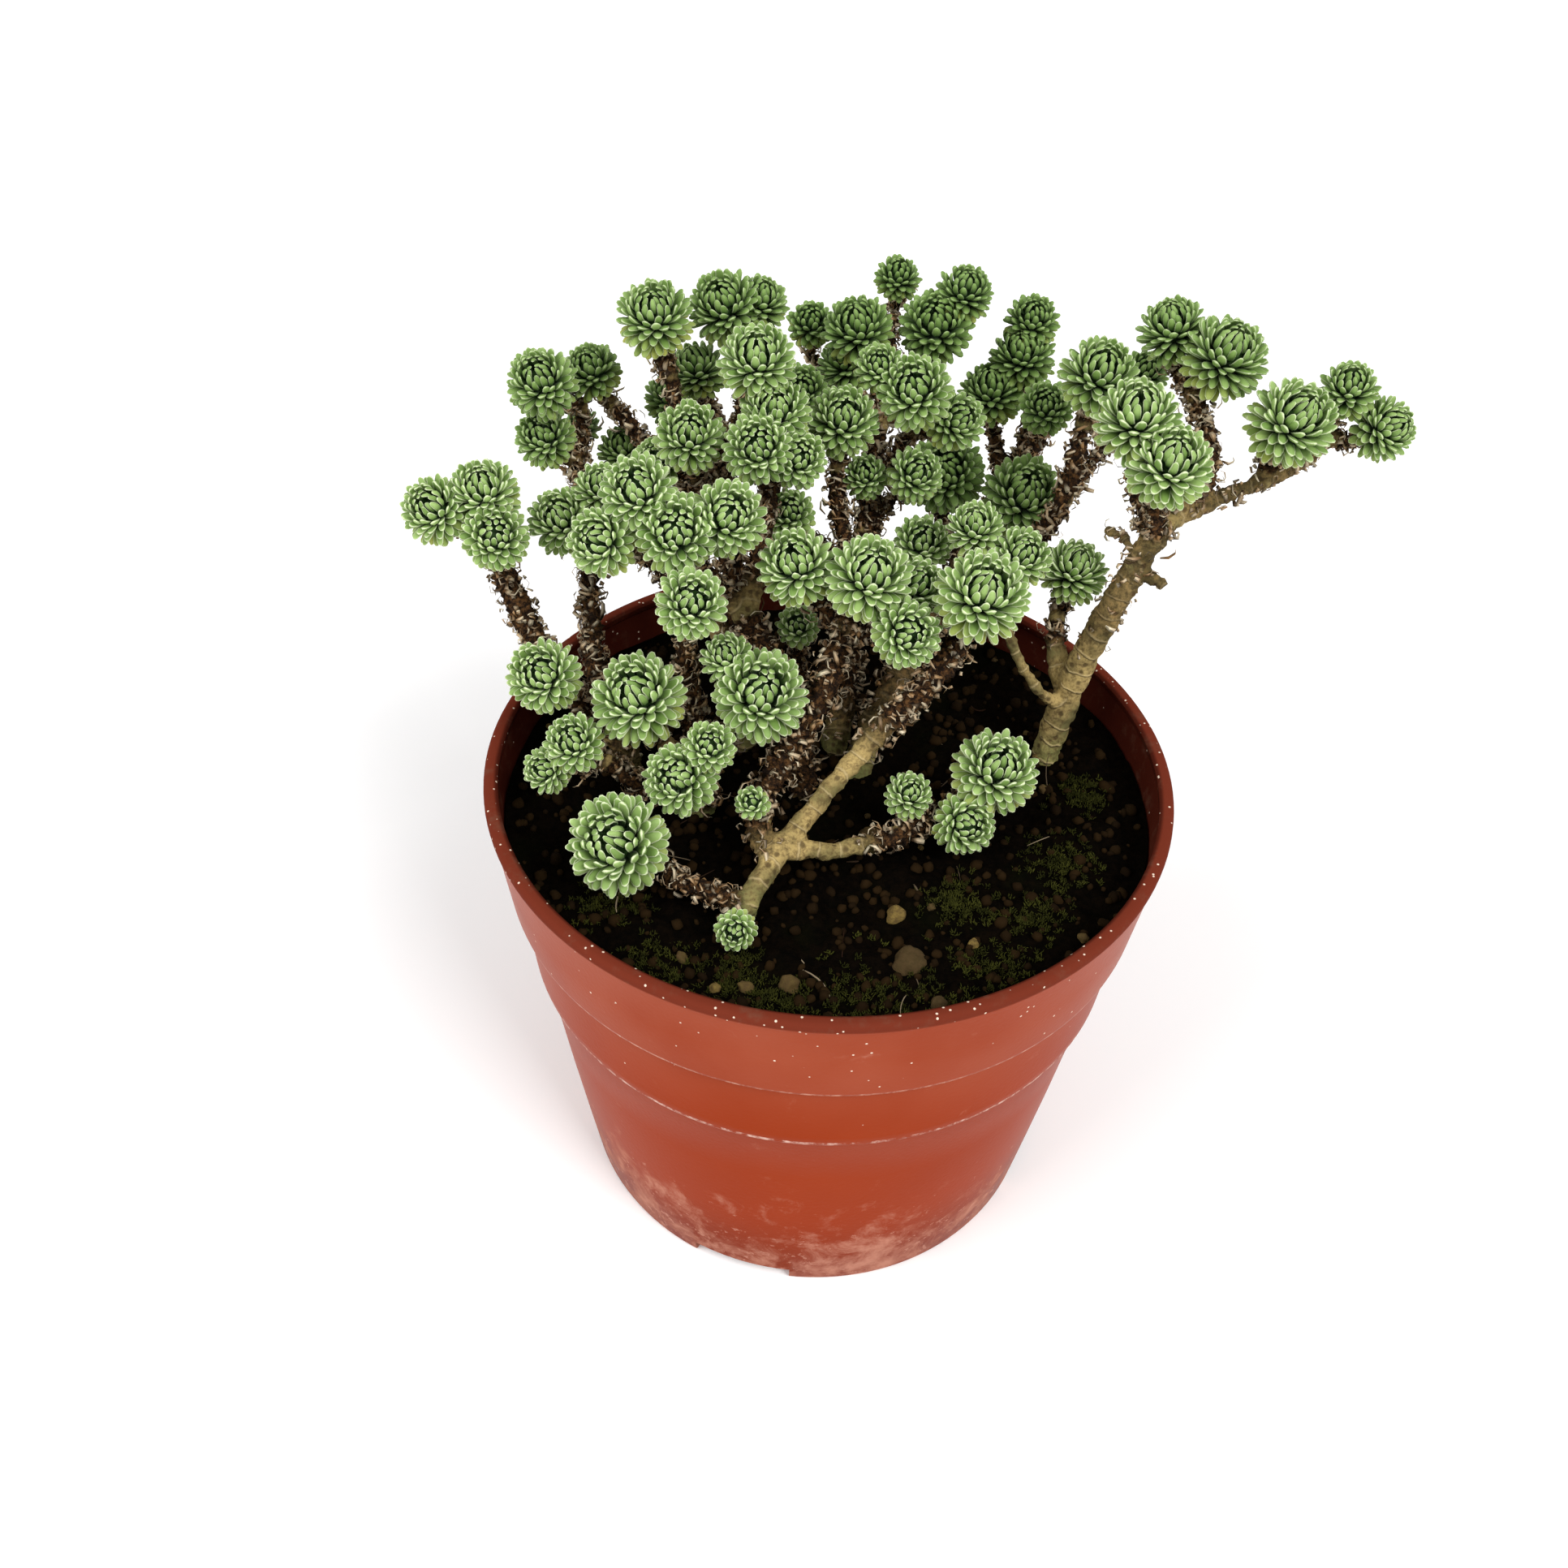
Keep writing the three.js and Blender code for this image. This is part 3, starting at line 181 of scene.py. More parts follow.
# Clumps of heads: the trunk that carries each, the foot of its shoots, and its heads as
# [x, y, z, radius] in mm. A head on its own limb gives that limb's end as its fifth value.
CLUMPS = {
    "left_tip": ("trunk_left", [-53.5, 20.5, 105.5],
                 [[-60.5, 15, 113, 4.8], [-53.5, 17, 115, 5], [-51.5, 13, 110.5, 4.8]]),
    "left": ("trunk_left", [-39.5, 23, 101], [[-43, 21, 108.5, 4.9], [-37.5, 24, 112.5, 4]]),
    "back_left_1": ("trunk_back_left", [-44.5, 42, 106],
                    [[-48.5, 39.5, 112, 4.6], [-48, 38, 122.5, 5.2, [-43.5, 46.5, 114]]]),
    "back_left_2": ("trunk_back_left", [-38, 46, 114.5], [[-41.5, 46, 120.5, 4.4]]),
    "back_left_3": ("trunk_back_left", [-44.5, 42, 106], [[-44.5, 50, 108.5, 3]]),
    "back_left_4": ("trunk_back_left", [-36.5, 46, 100.5], [[-37, 46, 106.5, 4.2]]),
    "top_left_1": ("trunk_back_left", [-28, 37.5, 124], [[-30, 37, 134.5, 5.4]]),
    "top_left_2": ("trunk_back_left", [-17, 44.5, 122.5], [[-20, 44, 133.5, 5.4], [-15, 46, 133.5, 4.2]]),
    "top_left_3": ("trunk_back_left", [-20.5, 39, 116], [[-24.5, 44, 122.5, 4.6]]),
    "top_left_4": ("trunk_back_left", [-30, 52, 107.5], [[-30, 54, 112.3, 4.2]]),
    "top_left_5": ("trunk_back_left", [-23, 30, 112], [[-23.5, 24, 122.5, 5], [-28.5, 26, 117, 3.6]]),
    "top_left_6": ("trunk_centre", [-12, 32, 114.5],
                   [[-14, 29, 132.5, 5.4], [-11, 26, 126, 5], [-13, 21, 123, 5], [-7.5, 22, 121, 4.2]]),
    "top_1": ("trunk_back", [-7.5, 52, 112], [[-8, 48, 118, 4.2]]),
    "top_2": ("trunk_back", [-1.5, 34, 112.5], [[-1, 32, 122, 5.2]]),
    "top_3": ("trunk_back", [-8, 34, 101], [[-8.5, 30, 106.5, 3.8]]),
    "mid_left_1": ("trunk_centre", [-25, 15.5, 109.5],
                   [[-34, 5, 116, 4.8], [-29, 8, 122.5, 5.2], [-23.5, 5, 118, 5.4], [-16.5, 8, 119, 5.2]]),
    "mid_left_2": ("trunk_front_left", [-22, 2, 104], [[-20.5, -4, 112.5, 4.8]]),
    "back_1": ("trunk_back", [6.5, 70, 120.5], [[6.5, 70, 128, 3.6]]),
    "back_2": ("trunk_back", [13.5, 60, 117.5], [[13, 57, 126, 5.6], [17, 59, 131, 4.4]]),
    "back_3": ("trunk_back", [-7, 65.5, 115], [[-7.5, 64, 122, 3.8]]),
    "back_4": ("trunk_back", [4.5, 51, 111.5], [[0.5, 54, 126, 5.4], [-1, 55, 119.5, 4.6]]),
    "back_5": ("trunk_back", [9.5, 40.5, 117],
               [[4, 37, 128.5, 3.6], [9.5, 34, 126.5, 5.4], [16, 36, 121, 4.4]]),
    "back_6": ("trunk_back_right", [16.5, 53, 95.5], [[16.5, 50, 103.5, 6.2]]),
    "back_7": ("trunk_back", [6, 37, 104], [[10.5, 32, 113.5, 4.2]]),
    "back_8": ("trunk_back", [6, 37, 104], [[3, 34, 111.5, 3.4]]),
    "back_right_1": ("trunk_back_right", [27, 55, 99],
                     [[23.5, 60, 113, 5.2], [28, 62, 119, 5.2, [31, 62, 109]],
                      [29, 64, 124.5, 4.2, [31, 62, 109]]]),
    "back_right_2": ("trunk_back_right", [32.5, 54, 110], [[31.5, 50, 116.5, 4.2]]),
    "back_right_3": ("trunk_back_right", [29, 47, 98], [[29, 42, 104.5, 6.4]]),
    "right_1": ("trunk_back_right", [36.5, 40, 119], [[37, 38, 128.5, 5.6]]),
    "right_2": ("trunk_right", [46, 19.5, 111.5], [[40.7, 21, 130.5, 5.9], [45.5, 16, 126.5, 5.8]]),
    "right_3": ("trunk_right", [52.5, 39, 125], [[48, 44, 133.5, 5], [55, 38, 132.5, 6]]),
    "right_4": ("trunk_back_right", [45, 53, 116.5], [[46.5, 52, 122.5, 3.6]]),
    "right_5": ("trunk_right", [63, 30, 117], [[64.8, 30, 126.8, 6.2]]),
    "right_tip": ("trunk_right", [74, 38, 120.5], [[74.5, 38, 128.5, 4.2], [80.5, 36, 123.5, 4.6]]),
    "centre_1": ("trunk_front", [1, 6.5, 102],
                 [[-6.2, 6, 112.8, 5.4], [4, 3, 113.5, 5.8], [10.5, 6.5, 110, 4.4], [9.8, -1.5, 107.8, 4.7]]),
    "centre_2": ("trunk_front", [18.5, 4.5, 105], [[20, 1, 113, 6.2]]),
    "centre_3": ("trunk_right", [24.5, 20, 101.5], [[20, 22, 110.5, 4.2], [27, 19, 108, 4.4]]),
    "centre_4": ("trunk_right", [34.5, 22, 95], [[36, 24, 102.5, 5]]),
    "centre_5": ("trunk_back_right", [12.5, 32, 97], [[12.5, 28, 103.5, 4.4]]),
    "centre_6": ("trunk_centre", [-6, 16, 91.5], [[-6, 14, 96.5, 3.2]]),
    "front_1": ("trunk_left", [-40, 2, 90], [[-42.5, -2, 96.5, 5.2]]),
    "front_2": ("trunk_front_left", [-26.5, -2.5, 88], [[-28, -6, 96.5, 6.4]]),
    "front_3": ("trunk_front_left", [-13, -0.5, 91.5], [[-10.5, -6, 98.5, 6.4], [-15.5, -2.5, 102, 3.6]]),
    "front_4": ("trunk_front_left", [-33, -7.5, 85.5], [[-37, -11, 91.5, 4.2], [-41, -12, 87, 3.4]]),
    "front_5": ("trunk_front_left", [-17.5, -9.5, 84.5], [[-17, -14.5, 95.5, 3.6], [-21, -16, 90.5, 5]]),
    "front_6": ("trunk_front", [-25.5, -20.5, 78.8], [[-29, -24, 84.5, 6.8]]),
    "front_7": ("trunk_front", [-9.5, -15.5, 84], [[-10.5, -17.5, 88, 2.4]]),
    "low_right_1": ("trunk_front", [18, -7, 79.5], [[24.5, -7, 87.5, 5.9], [20.5, -12, 81.5, 4.4]]),
    "low_right_2": ("trunk_front", [11, -12.5, 79.2], [[12, -10, 84.5, 3.4]]),
    "sprout": ("trunk_front", [-11, -28.5, 76.6], [[-11.5, -33.5, 78.6, 2.8]]),
}

# A head's axis leans to the front and up to the light, and partly follows the way its shoot grows.
LEAN = np.array([0, -0.62, 0.78])
FOOT_WEIGHT = 0.45

# A shoot's radius is a share of its head's, up to a most in mm. It ends under the head's leaves.
SHOOT_SHARE = 0.26
SHOOT_MOST = 1.5
SHOOT_GAP = 0.35
UNDERSIDE_SHARE = 0.66

# Distances along a limb in mm: between the places of its path, and between its rings of old leaves.
PATH_STEP = 0.7
RING_GAP = 3.4

# Dried leaves thicken to full cover over this share of a limb, from a thin start.
COVER_RISE = 0.18
COVER_START = 0.15

# Leaves in a head by its radius in mm: the first row whose radius the head reaches.
LEAVES_BY_RADIUS = [(6, 140), (5, 126), (4.5, 112), (4, 98), (3.3, 80), (2.6, 60), (0, 46)]
GOLDEN_TURN = math.pi * (3 - math.sqrt(5))

# An arc with less curl than this, in radians, is drawn with this curl.
LEAST_CURL = 0.01

# The camera, fitted to the photograph: place in mm and turn in degrees.
CAMERA_PLACE = (0, -181.782, 240.051)
CAMERA_TURN = (47.988, -1.562, 3.542)
CAMERA_LENS = 36


def linear(code):
    """An sRGB hex colour as the linear RGBA values that shaders take."""
    parts = [int(code[i:i + 2], 16) / 255 for i in (1, 3, 5)]
    return tuple(c / 12.92 if c <= 0.04045 else ((c + 0.055) / 1.055) ** 2.4 for c in parts) + (1.0,)


def per_metre(size_mm):
    """The texture scale that gives a pattern of this size in millimetres."""
    return 1000 / size_mm


def unit(vectors):
    """Vectors scaled to length 1."""
    return vectors / np.linalg.norm(vectors, axis=-1, keepdims=True)


def smoothstep(low, high, values):
    """0 below low, 1 above high, and a soft rise between them."""
    share = np.clip((values - low) / (high - low), 0, 1)
    return share * share * (3 - 2 * share)


def deselect_all():
    """Leaves edit mode and deselects every object."""
    if bpy.context.object and bpy.context.object.mode != "OBJECT":
        bpy.ops.object.mode_set(mode="OBJECT")
    bpy.ops.object.select_all(action="DESELECT")


def select_only(piece):
    """Makes one piece the active object and the only selected one."""
    deselect_all()
    piece.select_set(True)
    bpy.context.view_layer.objects.active = piece


def smooth_shaded(piece, crease):
    """Shades a piece smooth, apart from edges sharper than the crease angle."""
    select_only(piece)
    bpy.ops.object.shade_smooth_by_angle(angle=crease)


def raised_form(name, sides, stations):
    """A closed round form, raised ring by ring through [half width, half depth, height] stations."""
    deselect_all()
    wide, deep, height = stations[0]
    bpy.ops.mesh.primitive_circle_add(vertices=sides, radius=1, fill_type="NGON", enter_editmode=True)
    bpy.ops.transform.resize(value=(wide, deep, 1))
    bpy.ops.transform.translate(value=(0, 0, height))
    for (wide, deep, low), (wider, deeper, high) in zip(stations, stations[1:]):
        bpy.ops.mesh.extrude_region_move(TRANSFORM_OT_translate={"value": (0, 0, high - low)})
        bpy.ops.transform.resize(value=(wider / wide, deeper / deep, 1), center_override=(0, 0, high))
    bpy.ops.mesh.select_all(action="SELECT")
    bpy.ops.mesh.normals_make_consistent(inside=False)
    bpy.ops.object.mode_set(mode="OBJECT")
    form = bpy.context.object
    form.name = name
    return form


class Template:
    """The points and faces of a modelled mesh, ready to be copied many times. The mesh itself is removed."""

    def __init__(self, form):
        mesh = form.data
        self.points = np.empty(3 * len(mesh.vertices))
        mesh.vertices.foreach_get("co", self.points)
        self.points = self.points.reshape(-1, 3)
        self.corners = np.empty(len(mesh.loops), dtype=np.int32)
        mesh.loops.foreach_get("vertex_index", self.corners)
        self.starts = np.empty(len(mesh.polygons), dtype=np.int32)
        mesh.polygons.foreach_get("loop_start", self.starts)
        bpy.data.objects.remove(form)
        bpy.data.meshes.remove(mesh)

    def traits(self, copies, *columns):
        """Copies x points x 4 traits: a value, or one for each copy or point, in each column, and then 1."""
        traits = np.ones((copies, len(self.points), 4))
        for i, column in enumerate(columns):
            traits[:, :, i] = column
        return traits


def object_of_copies(name, template, places, traits):
    """An object of the template's copies. places is copies x points x 3, traits copies x points x 4."""
    copies = len(places)
    count = len(template.points)
    shift = np.arange(copies, dtype=np.int32)[:, None]
    mesh = bpy.data.meshes.new(name)
    mesh.vertices.add(copies * count)
    mesh.vertices.foreach_set("co", np.ascontiguousarray(places, dtype=np.float32).ravel())
    mesh.loops.add(copies * len(template.corners))
    mesh.loops.foreach_set("vertex_index", (template.corners[None] + shift * count).ravel())
    mesh.polygons.add(copies * len(template.starts))
    mesh.polygons.foreach_set("loop_start", (template.starts[None] + shift * len(template.corners)).ravel())
    mesh.update(calc_edges=True)
    traits_layer = mesh.color_attributes.new("traits", "FLOAT_COLOR", "POINT")
    traits_layer.data.foreach_set("color", np.ascontiguousarray(traits, dtype=np.float32).ravel())
    mesh.polygons.foreach_set("use_smooth", np.ones(len(mesh.polygons), dtype=bool))
    piece = bpy.data.objects.new(name, mesh)
    bpy.context.collection.objects.link(piece)
    return piece


def joined(name, pieces):
    """Joins pieces into the first one and names it."""
    select_only(pieces[0])
    for piece in pieces:
        piece.select_set(True)
    if len(pieces) > 1:
        bpy.ops.object.join()
    pieces[0].name = name
    pieces[0].data.name = name
    return pieces[0]


def apply_modifier(piece, kind, settings):
    """Adds one modifier with its settings and applies it."""
    select_only(piece)
    bpy.ops.object.modifier_add(type=kind)
    modifier = piece.modifiers[-1]
    for key, value in settings.items():
        setattr(modifier, key, value)
    bpy.ops.object.modifier_apply(modifier=modifier.name)


def finished(piece, material, replaced=()):
    """Gives a piece its material and the plant's one body, and hides the CAD nodes that it replaces."""
    piece.data.materials.clear()
    piece.data.materials.append(material)
    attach(piece, "root")
    if replaced:
        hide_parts(*replaced)


def curled_copies(template, feet, headings, uppers, lengths, curls, half_widths, half_depths):
    """Copies of an upright template, each laid along an arc from its foot that curls to its upper side."""
    along = template.points[:, 2][None, :, None]
    side = template.points[:, 0][None, :, None] * half_widths[:, None, None]
    rise = template.points[:, 1][None, :, None] * half_depths[:, None, None]
    curl = np.where(np.abs(curls) < LEAST_CURL, LEAST_CURL, curls)[:, None, None]
    length = lengths[:, None, None]
    heading = headings[:, None, :]
    upper = uppers[:, None, :]
    across = np.cross(headings, uppers)[:, None, :]
    ahead, aside = np.sin(curl * along), np.cos(curl * along)
    spine = feet[:, None, :] + length / curl * (ahead * heading + (1 - aside) * upper)
    lift = aside * upper - ahead * heading
    return spine + across * side + lift * rise


def smooth_path(points):
    """A smooth run through [x, y, z, radius] points in mm, with places about PATH_STEP apart."""
    points = np.array(points, dtype=float)
    padded = np.vstack([2 * points[0] - points[1], points, 2 * points[-1] - points[-2]])
    run = []
    for a, b, c, d in zip(padded, padded[1:], padded[2:], padded[3:]):
        count = max(2, int(np.linalg.norm(c[:3] - b[:3]) / PATH_STEP))
        for t in np.arange(count) / count:
            run.append(0.5 * (2 * b + (c - a) * t + (2 * a - 5 * b + 4 * c - d) * t ** 2
                              + (3 * b - a - 3 * c + d) * t ** 3))
    run.append(points[-1])
    return np.array(run)


def foot_of(clump_foot, head):
    """The foot of a head's shoot: its own limb's end, or else its clump's foot."""
    return head[4] if len(head) > 4 else clump_foot


def head_axis(clump_foot, head):
    """The direction that a head faces."""
    grown = unit(np.array(head[:3], dtype=float) - np.array(foot_of(clump_foot, head), dtype=float))
    return unit(LEAN * (1 - FOOT_WEIGHT) + grown * FOOT_WEIGHT)


def shoots_of(trunk):
    """The [x, y, z, radius] points in mm of each shoot of a trunk, from its foot into its head."""
    shoots = []
    for carrier, clump_foot, heads in CLUMPS.values():
        if carrier != trunk:
            continue
        for head in heads:
            foot = foot_of(clump_foot, head)
            axis = head_axis(clump_foot, head)
            centre = np.array(head[:3], dtype=float)
            girth = min(SHOOT_MOST, SHOOT_SHARE * head[3])
            end = centre - axis * (UNDERSIDE_SHARE * head[3] + SHOOT_GAP)
            others = [other for other in heads if other is not head]
            if any(np.linalg.norm(np.array(o[:3]) - end) < o[3] + 0.8 * girth for o in others):
                continue
            bend = end - axis * min(2.5, 0.45 * np.linalg.norm(end - np.array(foot)))
            inner = centre - axis * 0.2 * head[3]
            shoots.append([[*foot, 1.1 * girth], [*bend, 1.1 * girth], [*end, girth], [*inner, 0.9 * girth]])
    return shoots


def limbs_of(trunk):
    """A trunk's limbs and shoots as (share that is bare, smooth path in mm, thickness of dried leaves)."""
    rows = TRUNKS[trunk] + [(0.0, points) for points in shoots_of(trunk)]
    return [(bare, smooth_path(points), thickness[0] if thickness else 1.0)
            for bare, points, *thickness in rows]


def cover_at(bare, share):
    """How thickly dried leaves cover a limb at a share of its length, from 0 to 1."""
    return min(1.0, max(0.0, (share - bare) / COVER_RISE + COVER_START)) if bare < 1 else 0.0


def soil_height(x, y):
    """The height of the soil's surface in metres, with its clods and crumbs."""
    place = Vector((x, y, 0))
    waves = sum(noise.noise(place / (size * MM) + Vector(shift)) * height
                for size, shift, height in SOIL_WAVES)
    inward = min(1.0, max(0.0, (SOIL_RADIUS - math.hypot(x, y)) / CALM_BAND))
    return SOIL_LEVEL + waves * MM * (CALM_SHARE + (1 - CALM_SHARE) * inward)


def fill_sockets(node, sockets):
    """Fills sockets with values, or with links from a socket or from a node's first live output."""
    for name, value in sockets.items():
        if isinstance(value, bpy.types.Node):
            value = next(output for output in value.outputs if output.enabled)
        if isinstance(value, bpy.types.NodeSocket):
            node.id_data.links.new(value, node.inputs[name])
        else:
            node.inputs[name].default_value = value


def add_node(tree, kind, settings, sockets):
    """Adds a shader node with its settings and fills its sockets."""
    node = tree.nodes.new("ShaderNode" + kind)
    for name, value in settings.items():
        setattr(node, name, value)
    fill_sockets(node, sockets)
    return node


def new_material(name):
    """An empty material with its node tree, a shader and an output."""
    material = bpy.data.materials.new(name)
    material.use_nodes = True
    tree = material.node_tree
    tree.nodes.clear()
    shader = add_node(tree, "BsdfPrincipled", {}, {})
    add_node(tree, "OutputMaterial", {}, {"Surface": shader})
    return material, tree, shader


# Settings that nodes share, and the colour Mix node's sockets.
MIX = {"data_type": "RGBA"}
SMOOTH = {"interpolation_type": "SMOOTHSTEP"}
TRAITS = {"attribute_name": "traits"}
MULTIPLY = {"operation": "MULTIPLY"}
MULTIPLY_ADD = {"operation": "MULTIPLY_ADD"}
MAXIMUM = {"operation": "MAXIMUM"}
SHARE, FIRST, SECOND = 0, 6, 7


def rubbed_wall(tree, place, height, settings):
    """The outer wall's plastic: rubbed in slow drifts, with a pale dusty film on its collar that is partly
    painted reflection, and painted shade darkening its foot.
    """
    drift = add_node(tree, "TexNoise", {}, {"Vector": place, "Scale": per_metre(22), "Detail": 3})
    rubbed = add_node(tree, "Mix", MIX, {
        SHARE: drift, FIRST: settings.colour, SECOND: settings.worn_colour})
    # A pale film on the collar: partly dust and partly painted reflection of soft light.
    dust_and_reflection_band = add_node(tree, "MapRange", SMOOTH, {
        "Value": height, "From Min": 46 * MM, "From Max": 72 * MM, "To Max": 0.16})
    dust_and_reflection = add_node(tree, "Math", MULTIPLY, {0: dust_and_reflection_band, 1: drift})
    wall = add_node(tree, "Mix", MIX, {SHARE: dust_and_reflection, FIRST: rubbed, SECOND: settings.lime_and_reflection_colour})
    # Painted shade: the wall darkens towards its foot.
    shadowed = add_node(tree, "MapRange", SMOOTH, {
        "Value": height, "From Min": 24 * MM, "From Max": 2 * MM, "To Max": 0.5})
    return add_node(tree, "Mix", MIX, {SHARE: shadowed, FIRST: wall, SECOND: settings.foot_shade_colour})


def limed_wall(tree, place, height, wall, settings):
    """A wall's colour with its lime and its scuffed edges, and how much bloom there is."""
    # Cloudy patches and small specks of lime are thick at the foot and thin higher up.
    cloud = add_node(tree, "TexNoise", {}, {
        "Vector": place, "Scale": per_metre(7), "Detail": 7, "Roughness": 0.7, "Distortion": 0.4})
    low = add_node(tree, "MapRange", SMOOTH, {
        "Value": height, "From Min": 38 * MM, "From Max": 0.0, "To Max": 0.24})
    reach = add_node(tree, "Math", {"operation": "ADD"}, {0: cloud, 1: low})
    bloom = add_node(tree, "MapRange", SMOOTH, {
        "Value": reach, "From Min": 0.62, "From Max": 0.92, "To Max": 0.62})
    scuffing = add_node(tree, "TexNoise", {}, {
        "Vector": place, "Scale": per_metre(1.6), "Detail": 5, "Roughness": 0.7})
    speck_reach = add_node(tree, "Math", MULTIPLY_ADD, {0: low, 1: 0.7, 2: scuffing})
    specks = add_node(tree, "MapRange", SMOOTH, {
        "Value": speck_reach, "From Min": 0.69, "From Max": 0.8, "To Max": 0.5})
    limed = add_node(tree, "Math", MAXIMUM, {0: bloom, 1: specks})
    outside = add_node(tree, "Mix", MIX, {SHARE: limed, FIRST: wall, SECOND: settings.lime_and_reflection_colour})

    # The stacking ridge and the collar's edge are scuffed pale where other pots rubbed them.
    scuffed = add_node(tree, "MapRange", SMOOTH, {
        "Value": scuffing, "From Min": 0.42, "From Max": 0.66, "To Max": 0.7})
    edges = ((RIDGE_HEIGHT + 0.75 * MM, 0.55 * MM, settings.scuff_colour),
             (COLLAR_HEIGHT - 0.1 * MM, 0.28 * MM, settings.lime_and_reflection_colour))
    for middle, half_width, colour in edges:
        near = add_node(tree, "Math", {"operation": "COMPARE"}, {0: height, 1: middle, 2: half_width})
        mask = add_node(tree, "Math", MULTIPLY, {0: near, 1: scuffed})
        outside = add_node(tree, "Mix", MIX, {SHARE: mask, FIRST: outside, SECOND: colour})
    return outside, bloom


def soiled_shaded_plastic(tree, place, inside, settings):
    """The colour of the rim and the inner wall: browned by soil, with mineral crust. The inner wall is
    darker, partly from soil and partly painted shade.
    """
    crust = add_node(tree, "TexNoise", {}, {
        "Vector": place, "Scale": per_metre(4), "Detail": 8, "Roughness": 0.7})
    crusted = add_node(tree, "MapRange", SMOOTH, {
        "Value": crust, "From Min": 0.5, "From Max": 0.75, "To Max": 0.45})
    # The inner wall's darker colour is partly soil stain and partly painted shade.
    browned = add_node(tree, "Mix", MIX, {
        SHARE: inside, FIRST: settings.rim_colour, SECOND: settings.soiled_shaded_colour})
    return add_node(tree, "Mix", MIX, {
        SHARE: crusted, FIRST: browned, SECOND: settings.crust_colour})


def dust_grains(tree, place, height, rim):
    """Where grains of dust and grit lie: 0.3 to 0.6 mm, thick on the rim and sparse on the collar."""
    grains = add_node(tree, "TexVoronoi", {}, {"Vector": place, "Scale": per_metre(0.8)})
    near = add_node(tree, "MapRange", {}, {
        "Value": grains.outputs["Distance"], "From Min": 0.26, "From Max": 0.17})
    pick = add_node(tree, "SeparateColor", {}, {0: grains.outputs["Color"]})
    collar_share = add_node(tree, "MapRange", SMOOTH, {
        "Value": height, "From Min": 50 * MM, "From Max": 76 * MM, "To Max": 0.03})
    share = add_node(tree, "Math", MULTIPLY_ADD, {0: rim, 1: 0.2, 2: collar_share})
    picked = add_node(tree, "Math", {"operation": "LESS_THAN"}, {0: pick, 1: share})
    return add_node(tree, "Math", MULTIPLY, {0: near, 1: picked})


def moulded_polypropylene(settings):
    """Injection-moulded polypropylene: even orange red with a soft gloss, dulled by lime and dust."""
    material, tree, shader = new_material("moulded_polypropylene")
    place = add_node(tree, "TexCoord", {}, {}).outputs["Object"]
    height = add_node(tree, "SeparateXYZ", {}, {0: place}).outputs["Z"]
    traits = add_node(tree, "Attribute", TRAITS, {})
    inside = add_node(tree, "SeparateColor", {}, {0: traits})
    wall = rubbed_wall(tree, place, height, settings)
    outside, bloom = limed_wall(tree, place, height, wall, settings)

    # The rim and the inner wall carry dirt, and the inner wall is partly darkened with painted shade.
    rim = add_node(tree, "MapRange", SMOOTH, {
        "Value": height, "From Min": POT_HEIGHT - 1.7 * MM, "From Max": POT_HEIGHT - 1.1 * MM})
    dirty_and_shaded = add_node(tree, "Math", MAXIMUM, {0: inside, 1: rim})
    soiled_and_shaded = soiled_shaded_plastic(tree, place, inside, settings)
    walls = add_node(tree, "Mix", MIX, {SHARE: dirty_and_shaded, FIRST: outside, SECOND: soiled_and_shaded})
    grains = dust_grains(tree, place, height, rim)
    dusty = add_node(tree, "Mix", MIX, {SHARE: grains, FIRST: walls, SECOND: settings.grit_colour})

    # Lime and dirt take the gloss away, and grains stand up.
    limed_rough = add_node(tree, "MapRange", {}, {
        "Value": bloom, "From Max": 0.75, "To Min": 0.3, "To Max": 0.62})
    dirt_rough = add_node(tree, "Math", MULTIPLY, {0: dirty_and_shaded, 1: 0.7})
    rough = add_node(tree, "Math", MAXIMUM, {0: limed_rough, 1: dirt_rough})
    fine = add_node(tree, "TexNoise", {}, {"Vector": place, "Scale": per_metre(0.7), "Detail": 4})
    relief = add_node(tree, "Math", MULTIPLY_ADD, {0: grains, 1: 2.0, 2: fine})
    bump = add_node(tree, "Bump", {}, {"Strength": 0.35, "Distance": 0.08 * MM, "Height": relief})
    fill_sockets(shader, {
        "Base Color": dusty, "Roughness": rough, "Normal": bump, "IOR": 1.49, "Specular IOR Level": 0.018})
    return material


def damp_potting_mix(settings):
    """Damp peat and fine bark: near black brown, matt, with a thin green film of algae in places."""
    material, tree, shader = new_material("damp_potting_mix")
    place = add_node(tree, "TexCoord", {}, {}).outputs["Object"]
    crumbs = add_node(tree, "TexNoise", {}, {
        "Vector": place, "Scale": per_metre(1.4), "Detail": 8, "Roughness": 0.7})
    spread = add_node(tree, "MapRange", SMOOTH, {"Value": crumbs, "From Min": 0.35, "From Max": 0.7})
    earth = add_node(tree, "Mix", MIX, {
        SHARE: spread, FIRST: settings.dark_colour, SECOND: settings.light_colour})
    film = add_node(tree, "TexNoise", {}, {
        "Vector": place, "Scale": per_metre(16), "Detail": 5, "Roughness": 0.65})
    film_mask = add_node(tree, "MapRange", SMOOTH, {
        "Value": film, "From Min": 0.5, "From Max": 0.68, "To Max": 0.4})
    greened = add_node(tree, "Mix", MIX, {
        SHARE: film_mask, FIRST: earth, SECOND: settings.film_colour})
    bump = add_node(tree, "Bump", {}, {"Strength": 0.9, "Distance": 0.5 * MM, "Height": crumbs})
    fill_sockets(shader, {
        "Base Color": greened, "Normal": bump, "Roughness": 0.92, "Specular IOR Level": 0.0})
    return material


